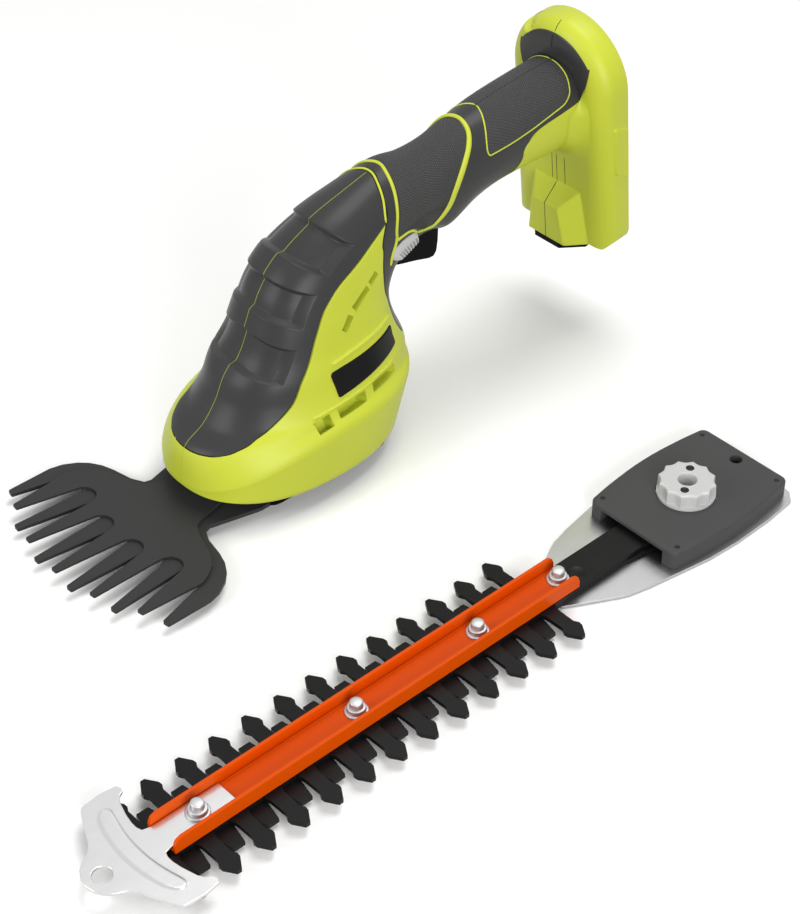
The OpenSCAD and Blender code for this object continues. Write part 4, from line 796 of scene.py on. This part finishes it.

# Parting and step lines: the gap where the two halves of the shell and of the skin meet on the foot, and two
# steps on its face, each drawn as a thin bead of painted shadow, almost black, without a highlight.
parting = moulded("shadowed_parting_gap", "#23240f", 0.6, 0.4, 0.01, shine=0.2)
gap_wide, gap_high = 0.4, 0.05
front_out = foot(0, -1, 0) - foot(0, 0, 0)
for name, y, first, last, lift in (
        ("crown_seam", 0, 40.0, 35.6, 0), ("collar_seam", 0, 35.2, 28.5, 0.9), ("boss_seam", 0, -22, -75, 0),
        ("step_line_1", -3, -24, boss_top, 0), ("step_line_2", 5.3, -24, boss_top, 0)):
    line_t = np.linspace(first, last, 200)
    path = foot(y, foot_face(y, line_t) - lift, line_t)
    normal = unit(np.cross(np.gradient(path, axis=0), (0, 1, 0)))
    normal *= np.sign(normal @ front_out)[:, None]
    bead(name, path, normal, gap_wide, gap_high, parting, "black_plastic")


# Plain mouldings: trigger, switch, sockets and the blade holder are glass-filled nylon; the drive knob and a
# gear are acetal, and the leads have PVC sleeves. They stay as the solids drew them, with their edges eased.
def dress(finish, ease_mm, *names):
    """Gives solids a finish, eases their edges and keeps their flat faces flat to the light."""
    flat_deg, edge_from_deg = 0.5, 32
    for name in names:
        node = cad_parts[name]
        node.data.materials.clear()
        node.data.materials.append(finish)
        node.data.shade_smooth()
        modify(node, "weld", "WELD", merge_threshold=1e-5)
        modify(node, "flat", "DECIMATE", decimate_type="DISSOLVE", angle_limit=math.radians(flat_deg))
        modify(node, "ease", "BEVEL", width=ease_mm / 1000, segments=3, limit_method="ANGLE",
               angle_limit=math.radians(edge_from_deg), harden_normals=True)
        modify(node, "even", "WEIGHTED_NORMAL", mode="FACE_AREA_WITH_ANGLE", keep_sharp=True)


# Glass-filled nylon: deep black and almost dull.
black_nylon = moulded("black_glass_filled_nylon", "#090909", 0.5, 0.3, 0.02, shine=0.04)
dress(black_nylon, 0.4, "docking_plate", "main_switch", "terminal_block", "cassette_base", "cassette_cover",
      "drive_socket", "release_catch", "foot_pad")
dress(black_nylon, 1.0, "trigger")
# Natural acetal: light grey, softly shiny.
knob_acetal = moulded("natural_grey_acetal", "#bcbcbb", 0.4, 0.3, 0.015)
dress(knob_acetal, 0.3, "drive_knob")
# Grained nylon: charcoal, with broad dull highlights.
charcoal_nylon = moulded("charcoal_grained_nylon", "#424242", 0.46, 0.4, 0.03, shine=0.12)
dress(charcoal_nylon, 0.2, "hedge_cover")
# Natural acetal without colour: creamy white.
dress(moulded("natural_acetal", "#e6e3da", 0.35, 0.3, 0.01), 0.15, "intermediate_gear")
# Soft PVC: even red, slightly shiny.
dress(moulded("red_pvc_lead", "#b32420", 0.4, 0.5, 0.01), 0.1, "battery_leads", "motor_leads")


# Metal: zinc-plated screws and plates, brass contacts, black-coated cutting blades and a powder-coated
# orange rail.
def metal(name, colour, rough, coarse_mm, stretch, coat=0.0, shine=0.5):
    """Rolled or plated metal: streaks of gloss drawn out along x, and a slow change of tone."""
    gloss_range, dark_part = 0.03, 0.97
    made, tree, shader = material(name)
    place = add(tree, "ShaderNodeTexCoord").outputs["Object"]
    drawn = add(tree, "ShaderNodeMapping", {"Scale": (1, stretch, stretch)}, {"Vector": place})
    streak = add(tree, "ShaderNodeTexNoise", {"Scale": 1 / (coarse_mm / 1000), "Detail": 3.0},
                 {"Vector": drawn.outputs[0]})
    toned(tree, shader, colour, (dark_part, 1), streak, rough, gloss_range, streak, shine)
    shader.inputs["Metallic"].default_value = 1.0 - coat
    return made


# Zinc plate: light grey, with a soft blurred shine.
zinc = metal("zinc_plated_steel", "#b4b5b6", 0.5, 12, 6)
dress(zinc, 0.2, "gear_frame", "upper_gear_plate", "trigger_pin", "motor_shaft", "intermediate_shaft",
      "output_shaft", "pivot_bolt", "pivot_nut", "hedge_crank",
      *(f"housing_screw_{i}" for i in range(1, 5)), *(f"cassette_screw_{i}" for i in range(1, 3)))
# Drawn can: darker than the plated pieces, with a tighter shine.
dress(metal("drawn_motor_can", "#9b9c9d", 0.4, 8, 6), 0.4, "motor_can")
# Stamped brass: warm yellow, with a fine shine.
brass = metal("stamped_brass", "#c9a45a", 0.34, 6, 6)
dress(brass, 0.1, "terminals", "motor_pinion", "intermediate_pinion")
# Black coating: grey-black, with a broad weak sheen.
black_steel = metal("black_coated_blade_steel", "#343434", 0.42, 14, 3, coat=0.95, shine=0.12)
dress(black_steel, 0.25, "output_gear", "lower_blade", "upper_blade")


# Shrub blade: a comb and a sliding cutter of black steel under an orange powder-coated rail, held by four
# shouldered bolts; a satin leaf plate carries its gear cover, and a pressed guard closes its tip.
# Black oxide: blacker than the coated blades, with a tighter sheen.
glossy_steel = metal("black_oxide_tooth_steel", "#131313", 0.32, 14, 3, coat=0.98, shine=0.12)
dress(glossy_steel, 0.3, "hedge_comb", "hedge_cutter")
# Powder coat: strong orange, with a faint coarse grain.
orange_coat = moulded("orange_powder_coat", "#d24c00", 0.36, 1.0, 0.01, shine=0.1)
dress(orange_coat, 0.4, "hedge_rail")
rail_low, rail_high = 1000 * np.array(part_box("hedge_rail"))
rail_top, guard_top, cover_top = 7.9, 9.4, 10.0
fold_end, fold_in = 4, 2.0
fold_x = np.linspace(rail_low[0] + fold_end, rail_high[0] - fold_end, 120)
fold = np.stack(np.broadcast_arrays(fold_x, rail_low[1] + fold_in, rail_top), -1)
fold_out = np.tile((0.0, 0.5 ** 0.5, 0.5 ** 0.5), (len(fold), 1))
bead("rail_fold", fold, fold_out, 0.7, 0.3, orange_coat, "orange_rail", "hedge")
# Rolled steel: even grey, with blurred reflections.
dress(metal("satin_rolled_steel", "#b2b2b3", 0.3, 10, 5), 0.2, "hedge_base_plate")
# Pressed steel: brighter, with sharper reflections.
bright_steel = metal("bright_pressed_steel", "#d0d0d0", 0.24, 10, 5)
dress(bright_steel, 0.35, "hedge_tip_guard")
bolt_profile = np.array([(5.0, -0.1), (5.0, 0.55), (4.85, 0.8), (4.55, 0.9), (4.05, 0.95), (3.95, 1.1),
                         (3.95, 2.5), (3.85, 2.75), (3.55, 2.9), (2.85, 2.95), (2.75, 3.1), (2.75, 5.2),
                         (2.6, 5.55), (2.2, 5.75), (1.2, 5.9), (0.02, 5.95)])
bolt_x, bolt_y = (-57.5, -10.5, 55.7, 134.8), 148.5
turned_steps = 288


def turned_piece(name, place, profile, finish, slot, body="hedge", flutes=(1, 0), sharp=50):
    """Profile (radius, height) turned about an upright axis at a place; flutes (number, depth) scallop each
    ring by depth |sin| in proportion to its last column, which is 1 on a fluted ring."""
    x, y, z = place
    profile = np.array([(*row, 0)[:3] for row in profile], float)
    turn = np.linspace(0, 2 * np.pi, turned_steps, endpoint=False)
    r = profile[:, :1] - profile[:, 2:] * flutes[1] * np.abs(np.sin(flutes[0] / 2 * turn))
    ring = np.stack([x + r * np.cos(turn), y + r * np.sin(turn), z + profile[:, 1:2] + 0 * turn], -1)
    return piece(name, ring, finish, slot, body, closed=True, flip=True, sharp=sharp)


for i, x in enumerate(bolt_x, 1):
    under_head = guard_top if i == len(bolt_x) else rail_top
    bolt = turned_piece(f"rail_bolt_{i}", (x, bolt_y, under_head), bolt_profile, zinc, "steel")
    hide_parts(f"hedge_bolt_{i}")

# Black oxide: nearly black, with a small soft highlight on the dome.
black_screw = metal("black_oxide_screw", "#0b0b0b", 0.35, 3, 1, coat=0.95, shine=0.2)
cover_screw, knob_screw = (1.15, 1), (1.9, 1)
screw_profile = np.array([(1.0, -0.3), (1.0, 0.06), (0.92, 0.12), (0.55, 0.14), (0.45, 0.06), (0.01, 0.05)])
for i in range(1, 5):
    x, y, _ = 1000 * np.mean(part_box(f"hedge_cover_screw_{i}"), axis=0)
    screw = turned_piece(f"gear_cover_screw_{i}", (x, y, cover_top), screw_profile * cover_screw, black_screw,
                         "steel")
    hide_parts(f"hedge_cover_screw_{i}")

# Lobed knob of the gear, and the two screws in it.
knob_x, knob_top, knob_flutes = -138, 17.4, (12, 1.2)
knob_profile = [(0.02, -6.4), (4.2, -6.4), (4.2, -0.7), (4.3, -0.3), (4.7, 0), (9.0, 0), (11.2, 0, 0.7),
                (12.1, 0, 1), (12.6, -0.15, 1), (12.85, -0.5, 1), (12.95, -1.2, 1), (13.1, -6.3, 1),
                (13.15, -6.4), (13.15, -9.6)]
knob = turned_piece("fluted_knob", (knob_x, bolt_y, knob_top), knob_profile, knob_acetal,
                    "light_grey_plastic", "hedge_drive", knob_flutes, sharp=28)
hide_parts("hedge_knob")
for i, (x, y) in enumerate(((6.5, 4.2), (-6.5, -4.2)), 1):
    screw = turned_piece(f"knob_screw_{i}", (knob_x + x, bolt_y + y, knob_top), screw_profile * knob_screw,
                         black_screw, "steel", "hedge_drive")
    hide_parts("hedge_knob_screws")

# Rim of the gear cover: its outer wall and rounded top edge, with the mouth that the bar runs out of.
rim_front, rim_rear, rim_half, rim_barrel, rim_corner = -103.0, -178.0, 25.2, 2.8, 3.5
mouth_half, mouth_top, rim_low = 18.0, 8.0, 1.55
arc = np.linspace(0, np.pi / 2, 24)
side_k = np.linspace(1, -1, 60)[1:-1]
front_x, rear_x = rim_front - rim_corner, rim_rear + rim_corner
rim_side = np.concatenate([
    np.stack([front_x + rim_corner * np.cos(arc), rim_half - rim_corner * (1 - np.sin(arc))], -1),
    np.stack([(front_x + rear_x + side_k * (front_x - rear_x)) / 2,
              rim_half + rim_barrel * (1 - side_k ** 2)], -1),
    np.stack([rear_x - rim_corner * np.sin(arc), rim_half - rim_corner * (1 - np.cos(arc))], -1)])
rim_count = 900
rim_loop, rim_in = even_loop(np.concatenate([rim_side, rim_side[::-1] * (1, -1), rim_side[:1]]), rim_count)
in_mouth = (rim_loop[:, 0] > front_x) & (np.abs(rim_loop[:, 1]) < mouth_half)
rim_foot = np.where(in_mouth, mouth_top, rim_low)
rim_rows = []
for inset, z in ((3.4, 10.02), (1.2, 10.02), (0.6, 9.93), (0.2, 9.62), (0.0, 9.2), (0.0, rim_foot),
                 (1.9, rim_foot), (1.9, 9.8)):
    place = rim_loop + rim_in * inset
    rim_rows.append(np.stack(np.broadcast_arrays(place[:, 0], bolt_y + place[:, 1], z), -1))
rim = np.stack(rim_rows)
piece("gear_cover_rim", rim, charcoal_nylon, "black_plastic", "hedge", closed=True, flip=True)

# Pressed forms: an eye in the bar beside its first bolt, and a bowed rib across the tip guard.
eye_at = (-68.4, 149.6, 5.9)
eye_profile = [(3.9, -0.3), (3.9, 0.03), (3.75, 0.1), (3.55, 0.1), (3.3, 0.02), (0.01, 0.015)]
turned_piece("bar_eye", eye_at, eye_profile, glossy_steel, "dark_steel")
rib_reach, rib_wide, rib_base, rib_up, rib_wall = 25.0, 4.4, 9.38, 0.5, 2.0
rib_middle, rib_bow, rib_bow_at, rib_square = 165.2, 3.7, 22, 14
rib_y = np.linspace(-rib_reach, rib_reach, 160)[:, None]
rib_across = np.linspace(-1, 1, 24)
rib_half = rib_wide * np.sqrt(1 - (rib_y / (rib_reach + 0.001)) ** rib_square)
rib_x = rib_middle - rib_bow * (rib_y / rib_bow_at) ** 2 + rib_half * rib_across
rib_z = rib_base + rib_up * step((1 - np.abs(rib_across)) * rib_half, rib_wall)
rib = np.stack(np.broadcast_arrays(rib_x, bolt_y + rib_y, rib_z), -1)
piece("guard_rib", rib, bright_steel, "steel", "hedge", flip=True)
